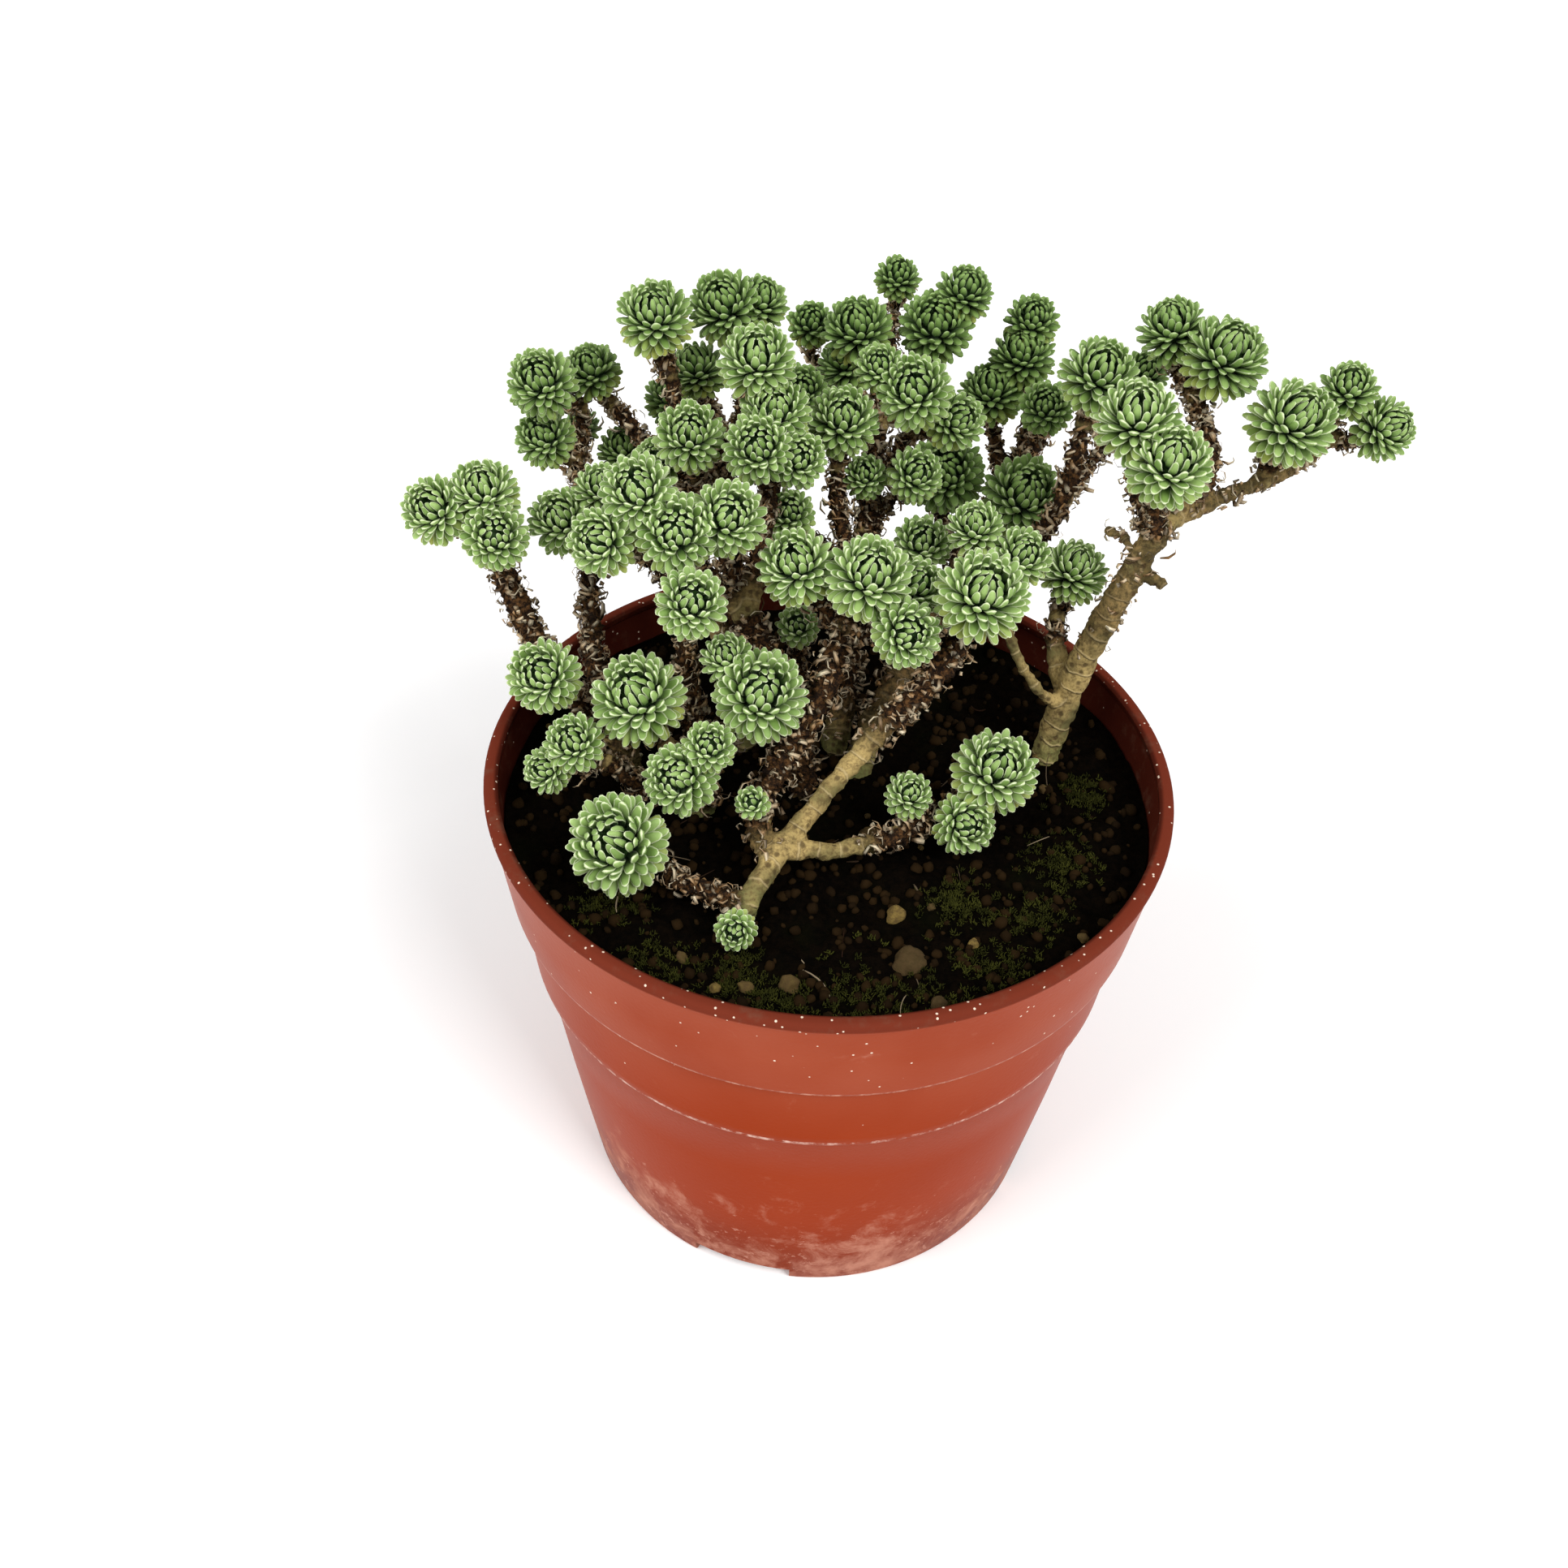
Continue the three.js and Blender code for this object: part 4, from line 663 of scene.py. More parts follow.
def pumice(settings):
    """Pumice and baked clay grit: yellow tan, pitted and dusty, each grain of its own tone."""
    material, tree, shader = new_material("pumice")
    place = add_node(tree, "TexCoord", {}, {}).outputs["Object"]
    traits = add_node(tree, "Attribute", TRAITS, {})
    tone = add_node(tree, "SeparateColor", {}, {0: traits})
    body = add_node(tree, "Mix", MIX, {
        SHARE: tone, FIRST: settings.pebble_dark_colour, SECOND: settings.pebble_light_colour})
    pits = add_node(tree, "TexNoise", {}, {
        "Vector": place, "Scale": per_metre(0.9), "Detail": 6, "Roughness": 0.7})
    pit_mask = add_node(tree, "MapRange", SMOOTH, {
        "Value": pits, "From Min": 0.62, "From Max": 0.4, "To Max": 0.75})
    stained = add_node(tree, "Mix", MIX, {
        SHARE: pit_mask, FIRST: body, SECOND: settings.pebble_stain_colour})
    bump = add_node(tree, "Bump", {}, {"Strength": 0.8, "Distance": 0.25 * MM, "Height": pits})
    fill_sockets(shader, {
        "Base Color": stained, "Normal": bump, "Roughness": 0.9, "Specular IOR Level": 0.15})
    return material


def two_tone_litter(name, dark, light, roughness):
    """Small plant litter or moss: each copy has its own tone, paler towards its tip."""
    material, tree, shader = new_material(name)
    traits = add_node(tree, "Attribute", TRAITS, {})
    parts = add_node(tree, "SeparateColor", {}, {0: traits})
    mixed = add_node(tree, "Math", MULTIPLY_ADD, {
        0: parts.outputs[1], 1: 0.45, 2: parts.outputs[0]})
    colour = add_node(tree, "Mix", MIX, {SHARE: mixed, FIRST: linear(dark), SECOND: linear(light)})
    fill_sockets(shader, {
        "Base Color": colour, "Roughness": roughness, "Specular IOR Level": 0.05})
    return material


def damp_crumb():
    """Crumbs of bark and peat: dark brown, a few of them rusty."""
    return two_tone_litter("damp_crumb", "#060302", "#241809", 0.9)


def cushion_moss():
    """Cushion moss: deep green blades with olive tips."""
    return two_tone_litter("cushion_moss", "#090c04", "#45461a", 0.75)


def dry_root():
    """Dry roots and straws: brown, a few bleached almost white."""
    return two_tone_litter("dry_root", "#2a1a11", "#a08f74", 0.7)


def corky_bark(settings):
    """Corky stem bark: tan with olive drifts and dark leaf scars, brown flakes over painted shade where dried
    leaves cling to it.
    """
    material, tree, shader = new_material("corky_bark")
    place = add_node(tree, "TexCoord", {}, {}).outputs["Object"]
    traits = add_node(tree, "Attribute", TRAITS, {})
    parts = add_node(tree, "SeparateColor", {}, {0: traits})
    drift = add_node(tree, "TexNoise", {}, {"Vector": place, "Scale": per_metre(6), "Detail": 5})
    drift_mask = add_node(tree, "MapRange", SMOOTH, {"Value": drift, "From Min": 0.38, "From Max": 0.66})
    bare = add_node(tree, "Mix", MIX, {
        SHARE: drift_mask, FIRST: settings.bark_colour, SECOND: settings.bark_olive_colour})

    # Near the soil the bark stays green.
    height = add_node(tree, "SeparateXYZ", {}, {0: place}).outputs["Z"]
    low = add_node(tree, "MapRange", SMOOTH, {
        "Value": height, "From Min": 81 * MM, "From Max": 76 * MM, "To Max": 0.6})
    green = add_node(tree, "Mix", MIX, {SHARE: low, FIRST: bare, SECOND: settings.bark_green_colour})

    # Scars of old leaves, about 1.8 mm apart, and a fine dark grain.
    scars = add_node(tree, "TexVoronoi", {"feature": "SMOOTH_F1"}, {
        "Vector": place, "Scale": per_metre(1.8), "Smoothness": 0.4})
    scar_mask = add_node(tree, "MapRange", SMOOTH, {
        "Value": scars.outputs["Distance"], "From Min": 0.34, "From Max": 0.12, "To Max": 0.8})
    scarred = add_node(tree, "Mix", MIX, {
        SHARE: scar_mask, FIRST: green, SECOND: settings.bark_scar_colour})
    grain = add_node(tree, "TexNoise", {}, {
        "Vector": place, "Scale": per_metre(0.8), "Detail": 7, "Roughness": 0.7})
    grain_mask = add_node(tree, "MapRange", SMOOTH, {
        "Value": grain, "From Min": 0.58, "From Max": 0.36, "To Max": 0.72})
    grained = add_node(tree, "Mix", MIX, {
        SHARE: grain_mask, FIRST: scarred, SECOND: settings.bark_grain_colour})

    # Rings where leaves once sat, 3 to 4 mm apart, stand up a little and are paler.
    wander = add_node(tree, "Math", MULTIPLY_ADD, {0: drift, 1: 3.0, 2: parts.outputs[1]})
    ring_near = add_node(tree, "Math", {"operation": "PINGPONG"}, {0: wander, 1: RING_GAP / 2})
    rings = add_node(tree, "MapRange", SMOOTH, {
        "Value": ring_near, "From Min": 0.32, "From Max": 0.05, "To Max": 0.5})
    ringed = add_node(tree, "Mix", MIX, {
        SHARE: rings, FIRST: grained, SECOND: settings.bark_ring_colour})

    # Where dried leaves cling, brown flakes lie over painted shade in the gaps between them.
    flakes = add_node(tree, "MapRange", SMOOTH, {"Value": grain, "From Min": 0.42, "From Max": 0.72})
    clad = add_node(tree, "Mix", MIX, {
        SHARE: flakes, FIRST: settings.clad_gap_shade_colour, SECOND: settings.clad_colour})
    covered = add_node(tree, "Mix", MIX, {SHARE: parts, FIRST: ringed, SECOND: clad})
    raised = add_node(tree, "Math", MULTIPLY_ADD, {0: rings, 1: 1.6, 2: grain})
    relief = add_node(tree, "Math", MULTIPLY_ADD, {0: scar_mask, 1: -0.8, 2: raised})
    bump = add_node(tree, "Bump", {}, {"Strength": 0.9, "Distance": 0.3 * MM, "Height": relief})
    fill_sockets(shader, {
        "Base Color": covered, "Normal": bump, "Roughness": 0.85, "Specular IOR Level": 0.12})
    return material


def papery_dried_leaf(settings):
    """Papery dried leaves: curled brown skins, pale at their tips, partly bleached and partly painted
    highlight, with a faint dry sheen.
    """
    material, tree, shader = new_material("papery_dried_leaf")
    place = add_node(tree, "TexCoord", {}, {}).outputs["Object"]
    traits = add_node(tree, "Attribute", TRAITS, {})
    parts = add_node(tree, "SeparateColor", {}, {0: traits})
    body = add_node(tree, "Mix", MIX, {
        SHARE: parts, FIRST: settings.dried_dark_colour, SECOND: settings.dried_colour})
    # Pale tips are partly bleached and partly painted highlight.
    bleached = add_node(tree, "Math", MULTIPLY, {0: parts.outputs[1], 1: parts.outputs[2]})
    pale = add_node(tree, "Mix", MIX, {
        SHARE: bleached, FIRST: body, SECOND: settings.dried_pale_highlight_colour})
    mottle = add_node(tree, "TexNoise", {}, {"Vector": place, "Scale": per_metre(0.5), "Detail": 4})
    bump = add_node(tree, "Bump", {}, {"Strength": 0.6, "Distance": 0.1 * MM, "Height": mottle})
    fill_sockets(shader, {
        "Base Color": pale, "Normal": bump, "Roughness": 0.62, "Specular IOR Level": 0.2})
    return material


def papillose_leaf(settings):
    """Succulent leaf skin covered in tiny papillae: grey green, frosted white along its edges and tip."""
    material, tree, shader = new_material("papillose_leaf")
    place = add_node(tree, "TexCoord", {}, {}).outputs["Object"]
    traits = add_node(tree, "Attribute", TRAITS, {})
    along, edge, age = add_node(tree, "SeparateColor", {}, {0: traits}).outputs
    tone = traits.outputs["Alpha"]

    # Darker green near the foot, which is painted shade deep in the rosette, grey green towards the tip, with
    # a tone of its own for each leaf.
    rise = add_node(tree, "MapRange", SMOOTH, {"Value": along, "From Min": 0.2, "From Max": 0.75})
    body = add_node(tree, "Mix", MIX, {
        SHARE: rise, FIRST: settings.shade_colour, SECOND: settings.leaf_colour})
    tone_share = add_node(tree, "Math", MULTIPLY, {0: tone, 1: rise})
    toned = add_node(tree, "Mix", MIX, {
        SHARE: tone_share, FIRST: body, SECOND: settings.pale_colour})

    # The lowest leaves turn yellow green before they dry.
    aged = add_node(tree, "Mix", MIX, {SHARE: age, FIRST: toned, SECOND: settings.yellow_colour})

    # Papillae are about 0.1 mm across, drawn at 0.22 mm so that they show.
    papillae = add_node(tree, "TexNoise", {}, {
        "Vector": place, "Scale": per_metre(0.22), "Detail": 3, "Roughness": 0.6})
    frost_reach = add_node(tree, "Math", MULTIPLY_ADD, {0: papillae, 1: 0.4, 2: edge})
    frost = add_node(tree, "MapRange", SMOOTH, {
        "Value": frost_reach, "From Min": 0.62, "From Max": 1.15, "To Max": 0.8})
    frosted = add_node(tree, "Mix", MIX, {
        SHARE: frost, FIRST: aged, SECOND: settings.frost_colour})
    bump = add_node(tree, "Bump", {}, {"Strength": 0.5, "Distance": 0.07 * MM, "Height": papillae})
    fill_sockets(shader, {
        "Base Color": frosted, "Normal": bump, "Roughness": 0.6, "Specular IOR Level": 0.35,
        "Sheen Weight": 0.05, "Sheen Roughness": 0.5, "Sheen Tint": linear("#dfead6")})
    return material


def painted_board(settings):
    """Matt white painted board: even and pale, with a barely seen roller texture."""
    material, tree, shader = new_material("painted_board")
    place = add_node(tree, "TexCoord", {}, {}).outputs["Object"]
    stipple = add_node(tree, "TexNoise", {}, {"Vector": place, "Scale": per_metre(3), "Detail": 3})
    bump = add_node(tree, "Bump", {}, {"Strength": 0.05, "Distance": 0.1 * MM, "Height": stipple})
    fill_sockets(shader, {
        "Base Color": settings.floor_colour, "Normal": bump, "Roughness": 0.8})
    return material


def colour_property(name, description, code):
    """A colour setting whose default is an sRGB hex code."""
    return bpy.props.FloatVectorProperty(
        name=name, description=description, default=linear(code), subtype="COLOR", size=4)


class PotSettings(bpy.types.PropertyGroup):
    wall: bpy.props.FloatProperty(
        name="Wall", description="Thickness of the pot's wall", default=1.2 * MM, unit="LENGTH")
    floor: bpy.props.FloatProperty(
        name="Floor", description="Thickness of the pot's floor", default=1.4 * MM, unit="LENGTH")
    sides: bpy.props.IntProperty(name="Sides", description="Faces round the pot", default=144)
    colour: colour_property("Plastic", "Colour of clean plastic", "#882c06")
    worn_colour: colour_property("Worn plastic", "Colour where the wall is rubbed", "#943613")
    # The foot's colour is painted shade.
    foot_shade_colour: colour_property("Shadowed foot plastic", "Colour of the damp foot", "#5c1f0a")
    # Lime on the wall; on the collar this colour also paints a soft reflection.
    lime_and_reflection_colour: colour_property("Lime bloom and reflection", "Colour of the mineral film", "#cc9680")
    scuff_colour: colour_property("Scuffs", "Colour of the scuffed ridge", "#e4c2b2")
    # The inner wall's colour is partly soil stain and partly painted shade.
    soiled_shaded_colour: colour_property("Soiled and shaded plastic", "Colour of the inner wall", "#4a1c12")
    rim_colour: colour_property("Rim", "Colour of the browned rim", "#6a2c1d")
    crust_colour: colour_property("Crust", "Colour of mineral crust on the rim", "#6b4a3a")
    grit_colour: colour_property("Grit", "Colour of grains of dust", "#e3cdb8")


class SoilSettings(bpy.types.PropertyGroup):
    cells: bpy.props.IntProperty(name="Cells", description="Cells across the soil's surface", default=112)
    pebbles: bpy.props.IntProperty(name="Pebbles", description="Number of pumice pebbles", default=30)
    crumbs: bpy.props.IntProperty(name="Crumbs", description="Number of soil crumbs", default=1100)
    tufts: bpy.props.IntProperty(name="Moss tufts", description="Number of moss tufts", default=950)
    twigs: bpy.props.IntProperty(name="Twigs", description="Number of roots and straws", default=36)
    dark_colour: colour_property("Dark soil", "Colour of damp peat", "#060504")
    light_colour: colour_property("Light soil", "Colour of drier crumbs", "#0f0a06")
    film_colour: colour_property("Algae film", "Colour of the green film", "#0c0f05")
    pebble_dark_colour: colour_property("Dark pumice", "Colour of dull pebbles", "#3d301a")
    pebble_light_colour: colour_property("Light pumice", "Colour of clean pebbles", "#7d6835")
    pebble_stain_colour: colour_property("Pumice stain", "Colour of the pits in pebbles", "#4b3a22")


class StemSettings(bpy.types.PropertyGroup):
    grain: bpy.props.FloatProperty(
        name="Bark cell", description="Size of the bark mesh's cells", default=0.55 * MM, unit="LENGTH")
    curls_per_mm: bpy.props.FloatProperty(
        name="Dried leaves per mm", description="Dried leaves on each millimetre of stem", default=10.0)
    bark_colour: colour_property("Bark", "Colour of bare bark", "#b89f66")
    bark_olive_colour: colour_property("Olive bark", "Colour of greener bark", "#6f6840")
    bark_green_colour: colour_property("Green bark", "Colour of bark near the soil", "#6f7d45")
    bark_scar_colour: colour_property("Leaf scars", "Colour of the scars of old leaves", "#4a3b26")
    bark_grain_colour: colour_property("Bark grain", "Colour of the bark's dark grain", "#5f4c2f")
    bark_ring_colour: colour_property("Leaf rings", "Colour of the raised rings", "#c8b282")
    # Painted shade in the gaps between the clinging flakes.
    clad_gap_shade_colour: colour_property("Clad gaps", "Colour between the clinging flakes", "#1a1009")
    clad_colour: colour_property("Clad bark", "Colour of the clinging flakes", "#6e4c2b")
    dried_dark_colour: colour_property("Dark dried leaves", "Colour of old dried leaves", "#2b1b0f")
    dried_colour: colour_property("Dried leaves", "Colour of fresh dried leaves", "#a37a4c")
    # Pale tips, partly bleached and partly painted highlight.
    dried_pale_highlight_colour: colour_property("Bleached and highlit tips", "Colour of bleached leaf tips", "#f4e6c6")


class RosetteSettings(bpy.types.PropertyGroup):
    fill: bpy.props.FloatProperty(
        name="Fill", description="Leaf width as a share of the space it has", default=0.86, subtype="FACTOR")
    reach: bpy.props.FloatProperty(
        name="Reach", description="How far leaf tips reach, as a share of the head's radius", default=1.09)
    lowest: bpy.props.FloatProperty(
        name="Lowest leaf", description="Angle of the lowest leaf's tip from the bud",
        default=math.radians(126), subtype="ANGLE")
    # Painted shade deep in the rosette, also on each head's core.
    shade_colour: colour_property("Leaf foot", "Colour deep in the rosette", "#2c4a1a")
    leaf_colour: colour_property("Leaf", "Colour of the leaf's face", "#6b8a3f")
    pale_colour: colour_property("Pale leaf", "Colour of the palest leaves", "#99b56a")
    yellow_colour: colour_property("Ageing leaf", "Colour of the lowest leaves", "#a8ab4c")
    frost_colour: colour_property("Frosted edge", "Colour of the edges and tips", "#e6eec6")


class StageSettings(bpy.types.PropertyGroup):
    floor_size: bpy.props.FloatProperty(
        name="Floor size", description="Width of the floor", default=6.0, unit="LENGTH")
    floor_colour: colour_property("Floor", "Colour of the floor", "#ffffff")


def pot_stations(settings):
    """The pot's outline from the edge of its base up the outside, over the rim and down the inside."""
    wall = settings.wall
    # Each turn is a radius, how far out of it the turn lies in mm, a height, and how far above it.
    turns = [
        (BASE_RADIUS, -0.5, 0, 0), (BASE_RADIUS, -0.1, 0, 0.25), (BASE_RADIUS, 0.1, 0, 0.8),
        (0, 41.7, 0, 12), (0, 43.35, 0, 24), (0, 44.95, 0, 36.5),
        (RIDGE_RADIUS, -0.05, RIDGE_HEIGHT, -0.4), (RIDGE_RADIUS, 0.2, RIDGE_HEIGHT, 0),
        (RIDGE_RADIUS, 0.85, RIDGE_HEIGHT, 0.35), (RIDGE_RADIUS, 1.1, RIDGE_HEIGHT, 0.8),
        (0, 47.75, 0, 51), (0, 48.35, 0, 58),
        (COLLAR_RADIUS, -1.3, COLLAR_HEIGHT, -0.8), (COLLAR_RADIUS, -0.5, COLLAR_HEIGHT, -0.6),
        (COLLAR_RADIUS, -0.1, COLLAR_HEIGHT, -0.25), (COLLAR_RADIUS, 0.05, COLLAR_HEIGHT, 0.4),
        (0, 51.15, 0, 72.5), (RIM_RADIUS, -0.45, POT_HEIGHT, -2.1), (RIM_RADIUS, -0.35, POT_HEIGHT, -1.75),
        (RIM_RADIUS, -0.05, POT_HEIGHT, -1.5), (RIM_RADIUS, 0, POT_HEIGHT, -1.1),
        (RIM_RADIUS, -0.06, POT_HEIGHT, -0.5), (RIM_RADIUS, -0.3, POT_HEIGHT, -0.15),
        (RIM_RADIUS, -0.7, POT_HEIGHT, 0), (RIM_INNER, 0.7, POT_HEIGHT, 0),
        (RIM_INNER, 0.25, POT_HEIGHT, -0.15), (RIM_INNER, 0, POT_HEIGHT, -0.5),
        (RIM_INNER, 0.05, POT_HEIGHT, -1.4), (RIM_RADIUS - wall, -0.25, POT_HEIGHT, -2.2),
        (0, 50, 0, 73), (COLLAR_RADIUS - wall, 0, COLLAR_HEIGHT, 1),
        (COLLAR_RADIUS - wall, -1.3, COLLAR_HEIGHT, -1), (RIDGE_RADIUS - wall, 1.1, RIDGE_HEIGHT, 1.1),
        (RIDGE_RADIUS - wall, 0, RIDGE_HEIGHT, -0.3), (BASE_RADIUS - wall, 0.2, settings.floor, 0.5),
        (BASE_RADIUS - wall, -0.3, settings.floor, 0),
    ]
    return [(radius + out * MM, radius + out * MM, height + up * MM) for radius, out, height, up in turns]


def ring_block(name, inner, outer, low, high, angle, width):
    """A block of a ring, centred on an angle: a flat face spun through its width."""
    deselect_all()
    bpy.ops.mesh.primitive_plane_add(size=1, enter_editmode=True)
    bpy.ops.transform.resize(value=(outer - inner, high - low, 1))
    bpy.ops.transform.rotate(value=math.radians(90), orient_axis="X", center_override=(0, 0, 0))
    bpy.ops.transform.translate(value=((inner + outer) / 2, 0, (low + high) / 2))
    bpy.ops.mesh.spin(steps=ARC_STEPS, angle=width, center=(0, 0, 0), axis=(0, 0, 1))
    bpy.ops.mesh.select_all(action="SELECT")
    bpy.ops.mesh.remove_doubles(threshold=0.001 * MM)
    bpy.ops.mesh.normals_make_consistent(inside=False)
    bpy.ops.object.mode_set(mode="OBJECT")
    block = bpy.context.object
    block.name = name
    middle = sum((vertex.co for vertex in block.data.vertices), Vector())
    block.data.transform(Matrix.Rotation(angle - math.atan2(middle.y, middle.x), 4, "Z"))
    return block


def cut_or_join(piece, name, tools, operation):
    """Joins tool objects, applies them to a piece as one Boolean modifier and removes them."""
    tool = joined(name, tools)
    apply_modifier(piece, "BOOLEAN", {"operation": operation, "solver": "EXACT", "object": tool})
    bpy.data.objects.remove(tool)


class PLANT_OT_nursery_pot(bpy.types.Operator):
    """Raises the nursery pot ring by ring and cuts its drainage channels"""

    bl_idname = "plant.nursery_pot"
    bl_label = "Nursery Pot"

    def execute(self, context):
        settings = context.scene.plant_pot
        pot = raised_form("pot_shell", settings.sides, pot_stations(settings))
        angles = [CHANNEL_FIRST + i * 2 * math.pi / CHANNELS for i in range(CHANNELS)]
        roofs = [ring_block("roof", CHANNEL_INNER - settings.wall, BASE_RADIUS - 0.6 * MM, settings.floor / 2,
                            CHANNEL_HEIGHT + settings.floor, angle, CHANNEL_WIDTH + ROOF_OVERLAP)
                 for angle in angles]
        cut_or_join(pot, "roofs", roofs, "UNION")
        channels = [ring_block("channel", CHANNEL_INNER, BASE_RADIUS + 5 * MM, -1 * MM, CHANNEL_HEIGHT,
                               angle, CHANNEL_WIDTH) for angle in angles]
        cut_or_join(pot, "channels", channels, "DIFFERENCE")
        cut_or_join(pot, "drains", [self.drain(angle) for angle in angles], "DIFFERENCE")
        self.mark_inside(pot.data)
        smooth_shaded(pot, POT_CREASE)
        finished(pot, moulded_polypropylene(settings), ["pot"])
        return {"FINISHED"}

    def drain(self, angle):
        """A cylinder that cuts a drain hole in a channel's roof."""
        deselect_all()
        bpy.ops.mesh.primitive_cylinder_add(vertices=DRAIN_SIDES, radius=DRAIN_RADIUS, depth=DRAIN_DEPTH)
        drain = bpy.context.object
        place = Vector((DRAIN_AT * math.cos(angle), DRAIN_AT * math.sin(angle), CHANNEL_HEIGHT))
        drain.data.transform(Matrix.Translation(place))
        return drain

    def mark_inside(self, mesh):
        """Writes 1 in the red trait of vertices whose wall faces the pot's axis."""
        traits = mesh.color_attributes.new("traits", "FLOAT_COLOR", "POINT")
        for vertex, trait in zip(mesh.vertices, traits.data):
            outward = vertex.co.x * vertex.normal.x + vertex.co.y * vertex.normal.y
            inner = outward < -0.2 * vertex.co.xy.length and vertex.co.z > CHANNEL_HEIGHT
            trait.color = (1.0 if inner else 0.0, 0, 0, 1)


class PLANT_OT_potting_soil(bpy.types.Operator):
    """Lays the soil's surface as a fine grid and draws its edge down the inside of the pot"""

    bl_idname = "plant.potting_soil"
    bl_label = "Potting Soil"

    # Radius and height in mm of each turn of the soil's side, from its surface down to the pot's floor.
    SIDE_TURNS = [(49.2, 70), (48.4, 66), (46.9, 62.5), (45.8, 49.6), (44.6, 48), (39.3, 5.2)]

    def execute(self, context):
        settings = context.scene.plant_soil
        deselect_all()
        bpy.ops.mesh.primitive_grid_add(x_subdivisions=settings.cells, y_subdivisions=settings.cells, size=2)
        soil = context.object
        soil.name = "soil_mass"
        # The square grid is drawn round, so that its edge follows the wall.
        for vertex in soil.data.vertices:
            x, y = vertex.co.x, vertex.co.y
            across = x * math.sqrt(1 - y * y / 2) * SOIL_RADIUS
            away = y * math.sqrt(1 - x * x / 2) * SOIL_RADIUS
            vertex.co = (across, away, soil_height(across, away))
        self.draw_edge_down()
        smooth_shaded(soil, SOIL_CREASE)
        finished(soil, damp_potting_mix(settings), ["soil"])
        return {"FINISHED"}

    def draw_edge_down(self):
        """Extrudes the surface's edge down the wall and closes it over the pot's floor."""
        bpy.ops.object.mode_set(mode="EDIT")
        bpy.ops.mesh.select_mode(type="EDGE")
        bpy.ops.mesh.select_all(action="DESELECT")
        bpy.ops.mesh.select_non_manifold()
        radius, height = SOIL_RADIUS, SOIL_LEVEL
        for next_radius, next_height in self.SIDE_TURNS:
            fall = next_height * MM - height
            share = next_radius * MM / radius
            # The first turn also levels the uneven edge.
            flatness = 0 if radius == SOIL_RADIUS else 1
            bpy.ops.mesh.extrude_region_move(TRANSFORM_OT_translate={"value": (0, 0, fall)})
            bpy.ops.transform.resize(value=(share, share, flatness), center_override=(0, 0, next_height * MM))
            radius, height = next_radius * MM, next_height * MM
        bpy.ops.mesh.edge_face_add()
        bpy.ops.mesh.select_all(action="SELECT")
        bpy.ops.mesh.normals_make_consistent(inside=False)
        bpy.ops.object.mode_set(mode="OBJECT")


def spots_on_soil(rng, count, margin):
    """Seeded places on the soil's surface, in metres."""
    radius = (SOIL_RADIUS - margin) * np.sqrt(rng.random(count))
    turn = 2 * math.pi * rng.random(count)
    x, y = radius * np.cos(turn), radius * np.sin(turn)
    return np.array([(a, b, soil_height(a, b)) for a, b in zip(x, y)])


def random_turns(rng, count):
    """Seeded rotation matrices, one for each copy."""
    w, x, y, z = unit(rng.normal(size=(count, 4))).T
    return np.stack([
        np.stack([1 - 2 * (y * y + z * z), 2 * (x * y - z * w), 2 * (x * z + y * w)], axis=-1),
        np.stack([2 * (x * y + z * w), 1 - 2 * (x * x + z * z), 2 * (y * z - x * w)], axis=-1),
        np.stack([2 * (x * z - y * w), 2 * (y * z + x * w), 1 - 2 * (x * x + y * y)], axis=-1),
    ], axis=1)


